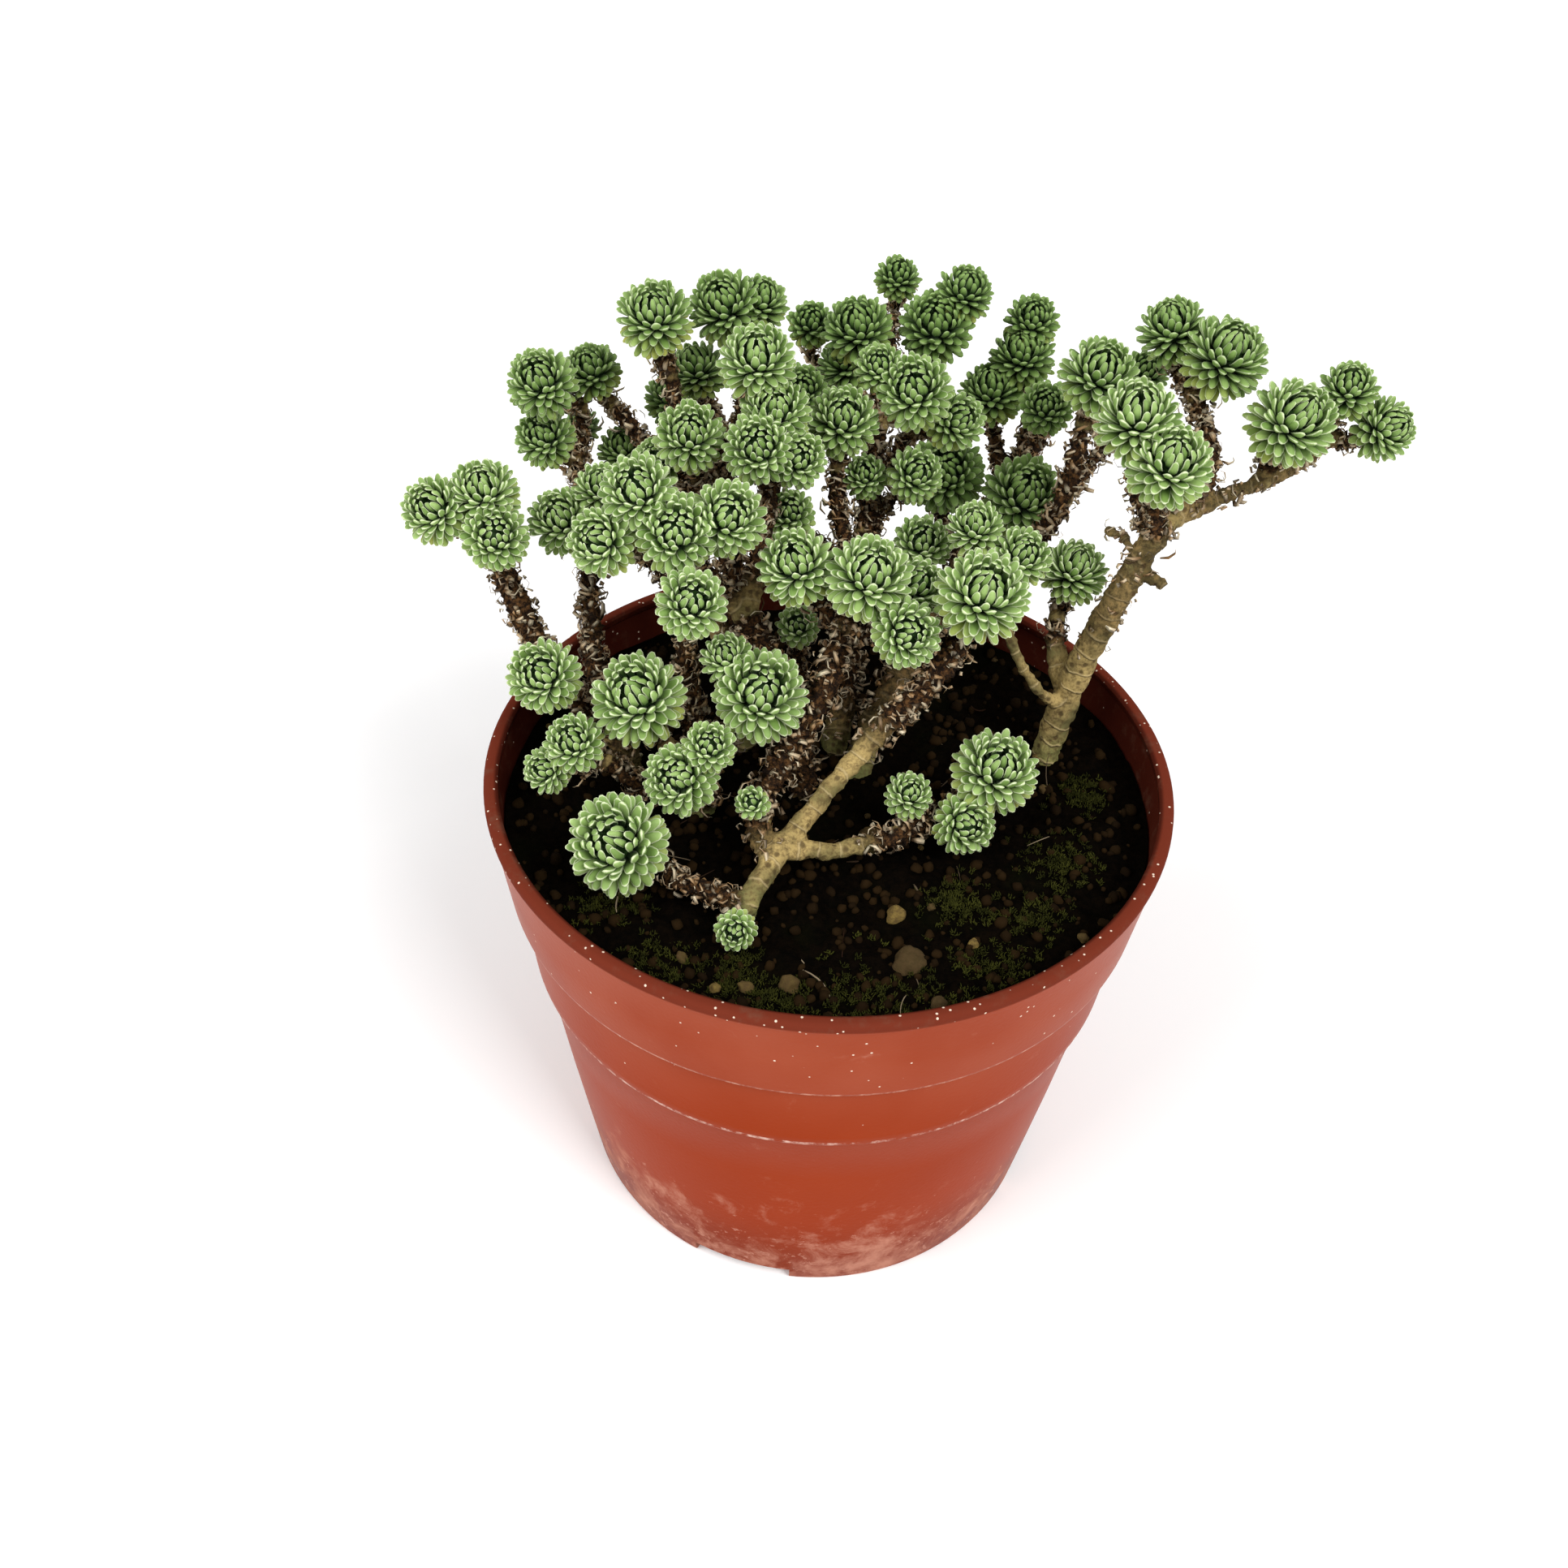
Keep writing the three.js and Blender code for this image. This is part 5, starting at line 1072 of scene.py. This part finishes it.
class PLANT_OT_pebbles_and_crumbs(bpy.types.Operator):
    """Strews pumice pebbles and soil crumbs over the soil"""

    bl_idname = "plant.pebbles_and_crumbs"
    bl_label = "Pebbles and Crumbs"

    SEED = 11
    # The pebbles that show most, as x, y and size in mm, and the range of the others' sizes.
    PLAIN_TO_SEE = [(13, -34, 2.2), (-3.5, -39, 1.4), (17, -41.5, 1.2), (11, -25, 1.5), (7, -9.5, 1.5),
                    (22, -30, 1.1), (-19, -35, 1.0), (-9.5, -40.5, 1.1)]
    PEBBLE_SIZES = (0.4, 0.9)
    CRUMB_SIZES = (0.3, 1.0)
    # A grain's stretch, and its dents: their depth, how many cross its radius, and each grain's own shift.
    STRETCH = (0.7, 1.15)
    DENT_DEPTH = 0.38
    DENTS = 1.3
    DENT_SHIFT = 7.1

    def execute(self, context):
        settings = context.scene.plant_soil
        rng = np.random.default_rng(self.SEED)
        chosen = np.array(self.PLAIN_TO_SEE) * MM
        strewn = spots_on_soil(rng, settings.pebbles, 2 * MM)
        centres = np.vstack([[(x, y, soil_height(x, y)) for x, y, _ in chosen], strewn])
        sizes = np.concatenate([chosen[:, 2], rng.uniform(*self.PEBBLE_SIZES, settings.pebbles) * MM])
        centres[:, 2] += 0.25 * sizes
        pebbles = self.lumps("pumice_pebbles", rng, 3, centres, sizes)
        finished(pebbles, pumice(settings))

        crumb_spots = spots_on_soil(rng, settings.crumbs, 1.2 * MM)
        crumb_sizes = rng.uniform(*self.CRUMB_SIZES, settings.crumbs) * MM
        crumb_spots[:, 2] += 0.15 * crumb_sizes
        crumbs = self.lumps("soil_crumbs", rng, 2, crumb_spots, crumb_sizes)
        finished(crumbs, damp_crumb())
        return {"FINISHED"}

    def lumps(self, name, rng, detail, centres, sizes):
        """Rounded uneven grains: an icosphere copied to each centre, stretched, turned and dented."""
        deselect_all()
        bpy.ops.mesh.primitive_ico_sphere_add(subdivisions=detail, radius=1)
        grain = Template(bpy.context.object)
        count = len(centres)
        dents = np.array([[noise.noise(Vector(point) * self.DENTS + Vector((self.DENT_SHIFT * i, 0, 0)))
                           for point in grain.points] for i in range(count)])
        dented = grain.points[None] * (1 + self.DENT_DEPTH * dents[:, :, None])
        shapes = dented * rng.uniform(*self.STRETCH, (count, 1, 3))
        places = np.einsum("nij,npj->npi", random_turns(rng, count), shapes) * sizes[:, None, None]
        traits = grain.traits(count, rng.random(count)[:, None])
        return object_of_copies(name, grain, places + centres[:, None, :], traits)


class PLANT_OT_moss(bpy.types.Operator):
    """Grows moss tufts in patches on the soil"""

    bl_idname = "plant.moss"
    bl_label = "Moss"

    SEED = 23
    # Patches of moss as x, y and reach in mm.
    PATCHES = [(4, -41, 9), (-6, -43, 6), (14, -40, 8), (25, -33, 7), (31, -24, 6), (-22, -38, 7),
               (36, -12, 7), (-30, -27, 6), (20, -22, 6), (40, 4, 5), (-12, -37, 5)]
    # The blades in a tuft, their stations, and their half width, half depth, least and most length in mm.
    BLADES = 13
    BLADE_STATIONS = [(0.6, 0.6, 0), (1, 1, 0.45), (0.15, 0.15, 1)]
    HALF_WIDTH, HALF_DEPTH = 0.11, 0.09
    LENGTHS = (0.4, 0.9)

    def execute(self, context):
        settings = context.scene.plant_soil
        rng = np.random.default_rng(self.SEED)
        patch = np.array(self.PATCHES)[rng.integers(len(self.PATCHES), size=settings.tufts)]
        offsets = rng.normal(size=(settings.tufts, 2)) * patch[:, 2:] * 0.45
        spots = (patch[:, :2] + offsets) * MM
        spots = spots[np.hypot(*spots.T) < SOIL_RADIUS - 1.5 * MM]
        feet = np.array([(x, y, soil_height(x, y)) for x, y in spots])
        feet = np.repeat(feet, self.BLADES, axis=0)
        count = len(feet)
        tuft_tone = np.repeat(rng.random(len(spots)) ** 2, self.BLADES)
        feet[:, :2] += rng.normal(size=(count, 2)) * 0.28 * MM
        spread = rng.normal(size=(count, 3)) * 0.55
        headings = unit(spread * [1, 1, 0] + [0, 0, 1])
        uppers = unit(np.cross(headings, rng.normal(size=(count, 3))))
        blade = Template(raised_form("moss_blade", 3, self.BLADE_STATIONS))
        lengths = rng.uniform(*self.LENGTHS, count) * MM
        curls = rng.uniform(-0.6, 0.6, count)
        places = curled_copies(blade, feet, headings, uppers, lengths, curls,
                               np.full(count, self.HALF_WIDTH * MM), np.full(count, self.HALF_DEPTH * MM))
        traits = blade.traits(count, 0.65 * tuft_tone[:, None], blade.points[None, :, 2])
        moss = object_of_copies("moss_tufts", blade, places, traits)
        finished(moss, cushion_moss())
        return {"FINISHED"}


class PLANT_OT_twigs(bpy.types.Operator):
    """Scatters fine roots and straws on the soil"""

    bl_idname = "plant.twigs"
    bl_label = "Twigs"

    SEED = 37
    STATIONS = [(0.7, 0.7, 0), (1, 1, 0.2), (0.9, 0.9, 0.4), (0.85, 0.85, 0.6), (0.7, 0.7, 0.8),
                (0.4, 0.4, 1)]
    # Least and most radius and length in mm.
    GIRTHS = (0.06, 0.17)
    LENGTHS = (3, 9)

    def execute(self, context):
        settings = context.scene.plant_soil
        rng = np.random.default_rng(self.SEED)
        count = settings.twigs
        feet = spots_on_soil(rng, count, 8 * MM)
        feet[:, 2] += 0.1 * MM
        turn = 2 * math.pi * rng.random(count)
        headings = unit(np.stack([np.cos(turn), np.sin(turn), rng.uniform(-0.05, 0.3, count)], axis=1))
        uppers = unit(np.cross(headings, rng.normal(size=(count, 3))))
        twig = Template(raised_form("twig", 5, self.STATIONS))
        girths = rng.uniform(*self.GIRTHS, count) * MM
        lengths = rng.uniform(*self.LENGTHS, count) * MM
        curls = rng.uniform(-1.4, 1.4, count)
        places = curled_copies(twig, feet, headings, uppers, lengths, curls, girths, girths)
        # Few of the twigs are bleached.
        traits = twig.traits(count, rng.random(count)[:, None] ** 2.5, 0)
        twigs = object_of_copies("twigs", twig, places, traits)
        finished(twigs, dry_root())
        return {"FINISHED"}


class PLANT_OT_trunks(bpy.types.Operator):
    """Grows each trunk as tubes along its limbs, fused into one skin with bark relief"""

    bl_idname = "plant.trunks"
    bl_label = "Trunks"

    # Relief of the bark: name, noise, size in mm, height in mm and the noise's middle.
    LUMPS = ("bark_lumps", "SOFT_NOISE", 2.6, 1.2, 0.52)
    CRACKS = ("bark_cracks", "SOFT_NOISE", 1.0, 0.4, 0.5)
    SHAG = ("shag_lumps", "HARD_NOISE", 0.9, 1.8, 0.45)

    def execute(self, context):
        settings = context.scene.plant_stems
        bark = corky_bark(settings)
        for trunk in TRUNKS:
            limbs = limbs_of(trunk)
            skin = joined("bark_" + trunk, [self.tube(context, path) for _, path, _ in limbs])
            apply_modifier(skin, "REMESH", {"mode": "VOXEL", "voxel_size": settings.grain})
            apply_modifier(skin, "SMOOTH", {"factor": 0.5, "iterations": 2})
            self.roughen(skin, self.LUMPS)
            self.roughen(skin, self.CRACKS)
            self.mark_cover(skin, limbs)
            self.roughen(skin, self.SHAG, "cover")
            skin.data.polygons.foreach_set("use_smooth", np.ones(len(skin.data.polygons), dtype=bool))
            finished(skin, bark, [trunk])
        return {"FINISHED"}

    def roughen(self, skin, relief, group=""):
        """Raises one relief on a skin, where a vertex group is given only as far as it reaches."""
        name, kind, size, height, middle = relief
        texture = bpy.data.textures.new(name, "CLOUDS")
        texture.noise_scale = size * MM
        texture.noise_type = kind
        apply_modifier(skin, "DISPLACE", {
            "texture": texture, "strength": height * MM, "mid_level": middle, "vertex_group": group})
        bpy.data.textures.remove(texture)

    def tube(self, context, path):
        """A closed round tube along a path."""
        curve = bpy.data.curves.new("limb", "CURVE")
        curve.dimensions = "3D"
        curve.bevel_depth = MM
        curve.bevel_resolution = 2
        curve.use_fill_caps = True
        spline = curve.splines.new("POLY")
        spline.points.add(len(path) - 1)
        places = np.column_stack([path[:, :3] * MM, np.ones(len(path))])
        spline.points.foreach_set("co", places.ravel())
        spline.points.foreach_set("radius", path[:, 3])
        limb = bpy.data.objects.new("limb", curve)
        context.collection.objects.link(limb)
        select_only(limb)
        bpy.ops.object.convert(target="MESH")
        return context.object

    def mark_cover(self, skin, limbs):
        """Writes each vertex's cover and length along its limb as traits, and the cover's bulk as a group."""
        spots = []
        for bare, path, thickness in limbs:
            runs = unit(np.gradient(path[:, :3], axis=0))
            lengths = np.append(0, np.cumsum(np.linalg.norm(np.diff(path[:, :3], axis=0), axis=1)))
            for i, place in enumerate(path):
                cover = cover_at(bare, i / (len(path) - 1))
                spots.append((Vector(place[:3] * MM), Vector(runs[i]), lengths[i], cover, cover * thickness))
        tree = KDTree(len(spots))
        for i, spot in enumerate(spots):
            tree.insert(spot[0], i)
        tree.balance()
        group = skin.vertex_groups.new(name="cover")
        traits = skin.data.color_attributes.new("traits", "FLOAT_COLOR", "POINT")
        for vertex, trait in zip(skin.data.vertices, traits.data):
            place, run, length, cover, bulk = spots[tree.find(vertex.co)[1]]
            trait.color = (0.4 * cover + 0.6 * bulk, length + run.dot(vertex.co - place) / MM, 0, 1)
            group.add([vertex.index], bulk, "REPLACE")


class PLANT_OT_dried_leaves(bpy.types.Operator):
    """Clads the stems in curled dried leaves"""

    bl_idname = "plant.dried_leaves"
    bl_label = "Dried Leaves"

    SEED = 300
    STATIONS = [(0.5, 1, 0), (1, 1, 0.35), (0.8, 1, 0.72), (0.3, 0.6, 1)]
    # Least and most of the leaves' lengths, half widths and half depths in mm, and of their curls.
    LENGTHS = (1.5, 3.8)
    HALF_WIDTHS = (0.18, 0.5)
    HALF_DEPTHS = (0.03, 0.06)
    CURLS = (2.2, 6.2)

    def execute(self, context):
        settings = context.scene.plant_stems
        material = papery_dried_leaf(settings)
        skin = Template(raised_form("dried_leaf", 3, self.STATIONS))
        for i, trunk in enumerate(TRUNKS):
            rng = np.random.default_rng(self.SEED + i)
            spots = self.spots(trunk, settings.curls_per_mm, rng)
            places, traits = self.leaves(skin, spots, rng)
            piece = object_of_copies("dried_leaves_" + trunk, skin, places, traits)
            finished(piece, material)
        return {"FINISHED"}

    def spots(self, trunk, per_mm, rng):
        """Places on a trunk as rows of point, run direction and girth."""
        rows = []
        for bare, path, thickness in limbs_of(trunk):
            steps = np.diff(path[:, :3], axis=0)
            lengths = np.linalg.norm(steps, axis=1)
            for k, (step, length) in enumerate(zip(steps, lengths)):
                cover = cover_at(bare, k / len(steps))
                for _ in range(rng.poisson(per_mm * length * cover * thickness)):
                    rows.append([*(path[k, :3] + step * rng.random()), *(step / length), path[k, 3]])
        return np.array(rows)

    def leaves(self, skin, spots, rng):
        """The points and traits of dried leaves that stand out from a stem and curl back to it."""
        count = len(spots)
        points, runs, girths = spots[:, :3], spots[:, 3:6], spots[:, 6]
        outward = rng.normal(size=(count, 3))
        outward = unit(outward - runs * (outward * runs).sum(axis=1, keepdims=True))
        around = np.cross(runs, outward)
        feet = (points + outward * (girths * rng.uniform(0.85, 1.4, count))[:, None]) * MM
        headings = unit(outward * rng.uniform(0.1, 1.2, (count, 1))
                        + around * rng.normal(size=(count, 1)) * 0.9
                        + runs * rng.normal(size=(count, 1)) * 0.9)
        uppers = rng.normal(size=(count, 3)) * 0.6 - outward
        uppers = unit(uppers - headings * (uppers * headings).sum(axis=1, keepdims=True))
        lengths = rng.uniform(*self.LENGTHS, count) * MM
        curls = rng.uniform(*self.CURLS, count)
        half_widths = rng.uniform(*self.HALF_WIDTHS, count) * MM
        half_depths = rng.uniform(*self.HALF_DEPTHS, count) * MM
        places = curled_copies(skin, feet, headings, uppers, lengths, curls, half_widths, half_depths)
        tone = rng.random(count)[:, None]
        # Each leaf's pale tip is partly bleached and partly painted highlight.
        tip = np.clip(skin.points[None, :, 2] * 1.2, 0, 1)
        bleaching_and_highlight = (rng.random(count) ** 0.6)[:, None]
        return places, skin.traits(count, tone, tip, bleaching_and_highlight)


def frame_about(axis):
    """An axis with two directions square to it."""
    side = unit(np.cross(axis, [0.31, 0.87, -0.4]))
    return axis, side, np.cross(axis, side)


class PLANT_OT_rosettes(bpy.types.Operator):
    """Sets fine leaves round each head's bud in a golden spiral"""

    bl_idname = "plant.rosettes"
    bl_label = "Rosettes"

    SEED = 500
    LEAF_SIDES = 6
    LEAF_STATIONS = [(0.55, 0.7, 0), (0.9, 1.0, 0.4), (1.0, 0.95, 0.7), (0.84, 0.7, 0.91), (0.4, 0.28, 1.0)]
    UPPER_FLATNESS = 0.5
    # A leaf's depth as a share of its width, and its least curl.
    THICKNESS = 0.62
    LEAST_CURL = 0.02
    # The area that the leaves' tips tile on a ball of radius 1.
    TILED_AREA = 11.4
    # 0.5 spaces the tips evenly, and more than that crowds them at the bud.
    CROWDING = 0.82
    # How far back, in mm, heads begin to be shaded and are shaded in full.
    SHADED_FROM, SHADED_TO = 12, 60
    CORE_SIDES = 8
    CORE_STATIONS = [(0.16, 0.16, -0.62), (0.36, 0.36, -0.45), (0.42, 0.42, -0.1), (0.39, 0.39, 0.25),
                     (0.28, 0.28, 0.42), (0.12, 0.12, 0.53)]

    def execute(self, context):
        settings = context.scene.plant_rosettes
        material = papillose_leaf(settings)
        leaf = Template(raised_form("leaf", self.LEAF_SIDES, self.LEAF_STATIONS))
        # A quarter turn puts two corners of the six-sided section at the leaf's margins.
        leaf.points = np.stack([leaf.points[:, 1], -leaf.points[:, 0], leaf.points[:, 2]], axis=1)
        leaf.points[:, 1] *= np.where(leaf.points[:, 1] > 0, self.UPPER_FLATNESS, 1.0)
        core = Template(raised_form("core", self.CORE_SIDES, self.CORE_STATIONS))
        for i, (clump, (_, clump_foot, heads)) in enumerate(CLUMPS.items()):
            rng = np.random.default_rng(self.SEED + i)
            grown = [self.leaves(leaf, head, head_axis(clump_foot, head), settings, rng) for head in heads]
            places, traits = (np.concatenate(parts) for parts in zip(*grown))
            leaves = object_of_copies("leaves_" + clump, leaf, places, traits)
            piece = joined("leaves_" + clump, [leaves, self.cores(core, clump_foot, heads)])
            finished(piece, material, ["rosettes_" + clump])
        return {"FINISHED"}

    def cores(self, core, clump_foot, heads):
        """The short stem inside each head, which its leaves grow from."""
        places = []
        for head in heads:
            axis, side, across = frame_about(head_axis(clump_foot, head))
            points = core.points * head[3] * MM
            places.append(np.array(head[:3]) * MM + points[:, :1] * side + points[:, 1:2] * across
                          + points[:, 2:] * axis)
        return object_of_copies("cores", core, np.array(places), core.traits(len(heads), 0, 0, 0, 0))

    def leaves(self, leaf, head, axis, settings, rng):
        """The points and traits of one head's leaves, worked out for a head of radius 1."""
        radius = head[3]
        count = next(number for least, number in LEAVES_BY_RADIUS if radius >= least)
        share = (np.arange(count) + 0.5) / count
        tip_angle = settings.lowest * share ** self.CROWDING + rng.normal(size=count) * 0.025
        turn = GOLDEN_TURN * np.arange(count) + 2 * math.pi * rng.random() + rng.normal(size=count) * 0.06
        axis, side, across = frame_about(unit(axis + rng.normal(size=3) * 0.07))
        radial = np.cos(turn)[:, None] * side + np.sin(turn)[:, None] * across
        arcs = self.arcs(axis, radial, tip_angle, settings.reach, rng)
        space = math.sqrt(self.TILED_AREA / count)
        half_widths = 0.5 * settings.fill * space * (0.66 + 0.4 * smoothstep(0.05, 0.9, tip_angle))
        half_widths = half_widths * rng.uniform(0.88, 1.1, count)
        places = curled_copies(leaf, *arcs, half_widths, half_widths * self.THICKNESS)
        traits = self.traits(leaf, tip_angle, head[1], rng)
        return (np.array(head[:3]) + places * radius) * MM, traits

    def arcs(self, axis, radial, tip_angle, tip_reach, rng):
        """Each leaf's foot, heading, upper side, length and curl, on the arc from its foot to its tip."""
        count = len(tip_angle)

        def polar(angle):
            """Directions at angles from the head's axis, each towards its own leaf's side."""
            return np.sin(angle)[:, None] * radial + np.cos(angle)[:, None] * axis

        # The bud's leaves stand up and close in, the middle ones spread, and the lowest hang a little.
        reach = tip_reach * (0.92 + 0.08 * smoothstep(0.3, 1.2, tip_angle)) * rng.uniform(0.94, 1.06, count)
        spread = -1.35 + 1.33 * smoothstep(0.0, 1.35, tip_angle)
        heading_angle = tip_angle + spread + rng.normal(size=count) * 0.08

        # Feet climb from low on the core, for the lowest leaves, to its top for the bud's.
        foot_out = 0.1 + 0.26 * smoothstep(0.0, 0.35, tip_angle)
        foot_out = foot_out * (1 - 0.2 * smoothstep(0.8, 1.8, tip_angle))
        foot_height = 0.46 * (1 - smoothstep(0.1, 1.3, tip_angle)) - 0.45 * smoothstep(1.0, 2.2, tip_angle)
        feet = axis * foot_height[:, None] + radial * foot_out[:, None]

        # The arc sets out along the heading and ends at the tip.
        chord = polar(tip_angle) * reach[:, None] - feet
        chord_length = np.linalg.norm(chord, axis=1)
        chord_angle = np.arctan2((chord * radial).sum(axis=1), chord @ axis)
        curls = np.clip(2 * (chord_angle - heading_angle), -0.8, 2.0)
        curls = np.where(np.abs(curls) < self.LEAST_CURL, self.LEAST_CURL, curls)
        headings = polar(chord_angle + curls / 2)
        uppers = polar(chord_angle + curls / 2 - math.pi / 2)
        lengths = chord_length * (curls / 2) / np.sin(curls / 2)
        return feet, headings, uppers, lengths, curls

    def traits(self, leaf, tip_angle, back, rng):
        """How far along its leaf each point is, how near its edge, how aged the leaf is, and its tone, with
        painted shade on heads at the back.
        """
        count = len(tip_angle)
        along = leaf.points[:, 2]
        ring_width = np.array([np.abs(leaf.points[np.isclose(along, a), 0]).max() for a in along])
        margin = smoothstep(0.6, 1.0, np.abs(leaf.points[:, 0]) / ring_width) * smoothstep(0.1, 0.5, along)
        edge = np.maximum(margin, 0.8 * smoothstep(0.9, 1.0, along))
        ageing = smoothstep(1.35, 2.1, tip_angle) * rng.random(count) * rng.uniform(0.2, 1.0)
        tone = rng.random(count)

        # Painted shade: heads at the back of the plant are drawn deeper green, with less frost.
        shaded = smoothstep(self.SHADED_FROM, self.SHADED_TO, back)
        return leaf.traits(count, along[None] * (1 - 0.3 * shaded), edge[None] * (1 - 0.35 * shaded),
                           ageing[:, None], tone[:, None] * (1 - 0.6 * shaded))


class PLANT_OT_stage(bpy.types.Operator):
    """Sets the floor, the soft lights and the camera"""

    bl_idname = "plant.stage"
    bl_label = "Stage"

    # Soft boxes: name, place in m, size in m, power in W. Each faces the plant.
    LIGHTS = [
        ("key", (1.4, -1.5, 2.2), 1.3, 62),
        ("fill", (-1.9, -1.1, 1.9), 2.0, 46),
    ]
    AIM = (0, 0, 0.09)
    SKY_COLOUR = "#ffffff"
    SKY_STRENGTH = 0.58
    NEAREST = 0.01

    def execute(self, context):
        settings = context.scene.plant_stage
        deselect_all()
        bpy.ops.mesh.primitive_grid_add(x_subdivisions=4, y_subdivisions=4, size=settings.floor_size)
        floor = context.object
        floor.name = "floor"
        floor.data.materials.append(painted_board(settings))
        for name, place, size, power in self.LIGHTS:
            turn = (Vector(self.AIM) - Vector(place)).to_track_quat("-Z", "Y").to_euler()
            bpy.ops.object.light_add(type="AREA", location=place, rotation=turn)
            light = context.object
            light.name = name
            light.data.size = size
            light.data.energy = power
        world = bpy.data.worlds.new("studio")
        world.use_nodes = True
        fill_sockets(world.node_tree.nodes["Background"], {
            "Color": linear(self.SKY_COLOUR), "Strength": self.SKY_STRENGTH})
        context.scene.world = world
        context.scene.view_settings.view_transform = "Standard"
        bpy.ops.object.camera_add(location=[c * MM for c in CAMERA_PLACE],
                                  rotation=[math.radians(a) for a in CAMERA_TURN])
        camera = context.object
        camera.data.lens = CAMERA_LENS
        camera.data.sensor_width = CAMERA_LENS
        camera.data.clip_start = self.NEAREST
        context.scene.camera = camera
        return {"FINISHED"}


OPERATORS = (
    PLANT_OT_nursery_pot,
    PLANT_OT_potting_soil,
    PLANT_OT_pebbles_and_crumbs,
    PLANT_OT_moss,
    PLANT_OT_twigs,
    PLANT_OT_trunks,
    PLANT_OT_dried_leaves,
    PLANT_OT_rosettes,
    PLANT_OT_stage,
)
SETTINGS = {
    "plant_pot": PotSettings,
    "plant_soil": SoilSettings,
    "plant_stems": StemSettings,
    "plant_rosettes": RosetteSettings,
    "plant_stage": StageSettings,
}


class PLANT_PT_panel(bpy.types.Panel):
    """Lists the plant's settings and the steps that build it"""

    bl_idname = "PLANT_PT_panel"
    bl_label = "Potted Sedum"
    bl_space_type = "VIEW_3D"
    bl_region_type = "UI"
    bl_category = "Plant"

    def draw(self, context):
        """Draws a box for each group of settings and a button for each step."""
        for name in SETTINGS:
            group = getattr(context.scene, name)
            box = self.layout.box()
            for prop in group.bl_rna.properties:
                if prop.identifier not in ("rna_type", "name"):
                    box.prop(group, prop.identifier)
        for operator in OPERATORS:
            self.layout.operator(operator.bl_idname)


def register():
    """Adds the settings, the operators and the panel."""
    for name, group in SETTINGS.items():
        bpy.utils.register_class(group)
        setattr(bpy.types.Scene, name, bpy.props.PointerProperty(type=group))
    for operator in OPERATORS:
        bpy.utils.register_class(operator)
    bpy.utils.register_class(PLANT_PT_panel)


def unregister():
    """Takes away what register adds."""
    bpy.utils.unregister_class(PLANT_PT_panel)
    for operator in reversed(OPERATORS):
        bpy.utils.unregister_class(operator)
    for name, group in SETTINGS.items():
        delattr(bpy.types.Scene, name)
        bpy.utils.unregister_class(group)


def main():
    """Builds the plant and its stage."""
    register()
    bpy.ops.plant.nursery_pot()
    bpy.ops.plant.potting_soil()
    bpy.ops.plant.pebbles_and_crumbs()
    bpy.ops.plant.moss()
    bpy.ops.plant.twigs()
    bpy.ops.plant.trunks()
    bpy.ops.plant.dried_leaves()
    bpy.ops.plant.rosettes()
    bpy.ops.plant.stage()


if __name__ == "__main__":
    main()
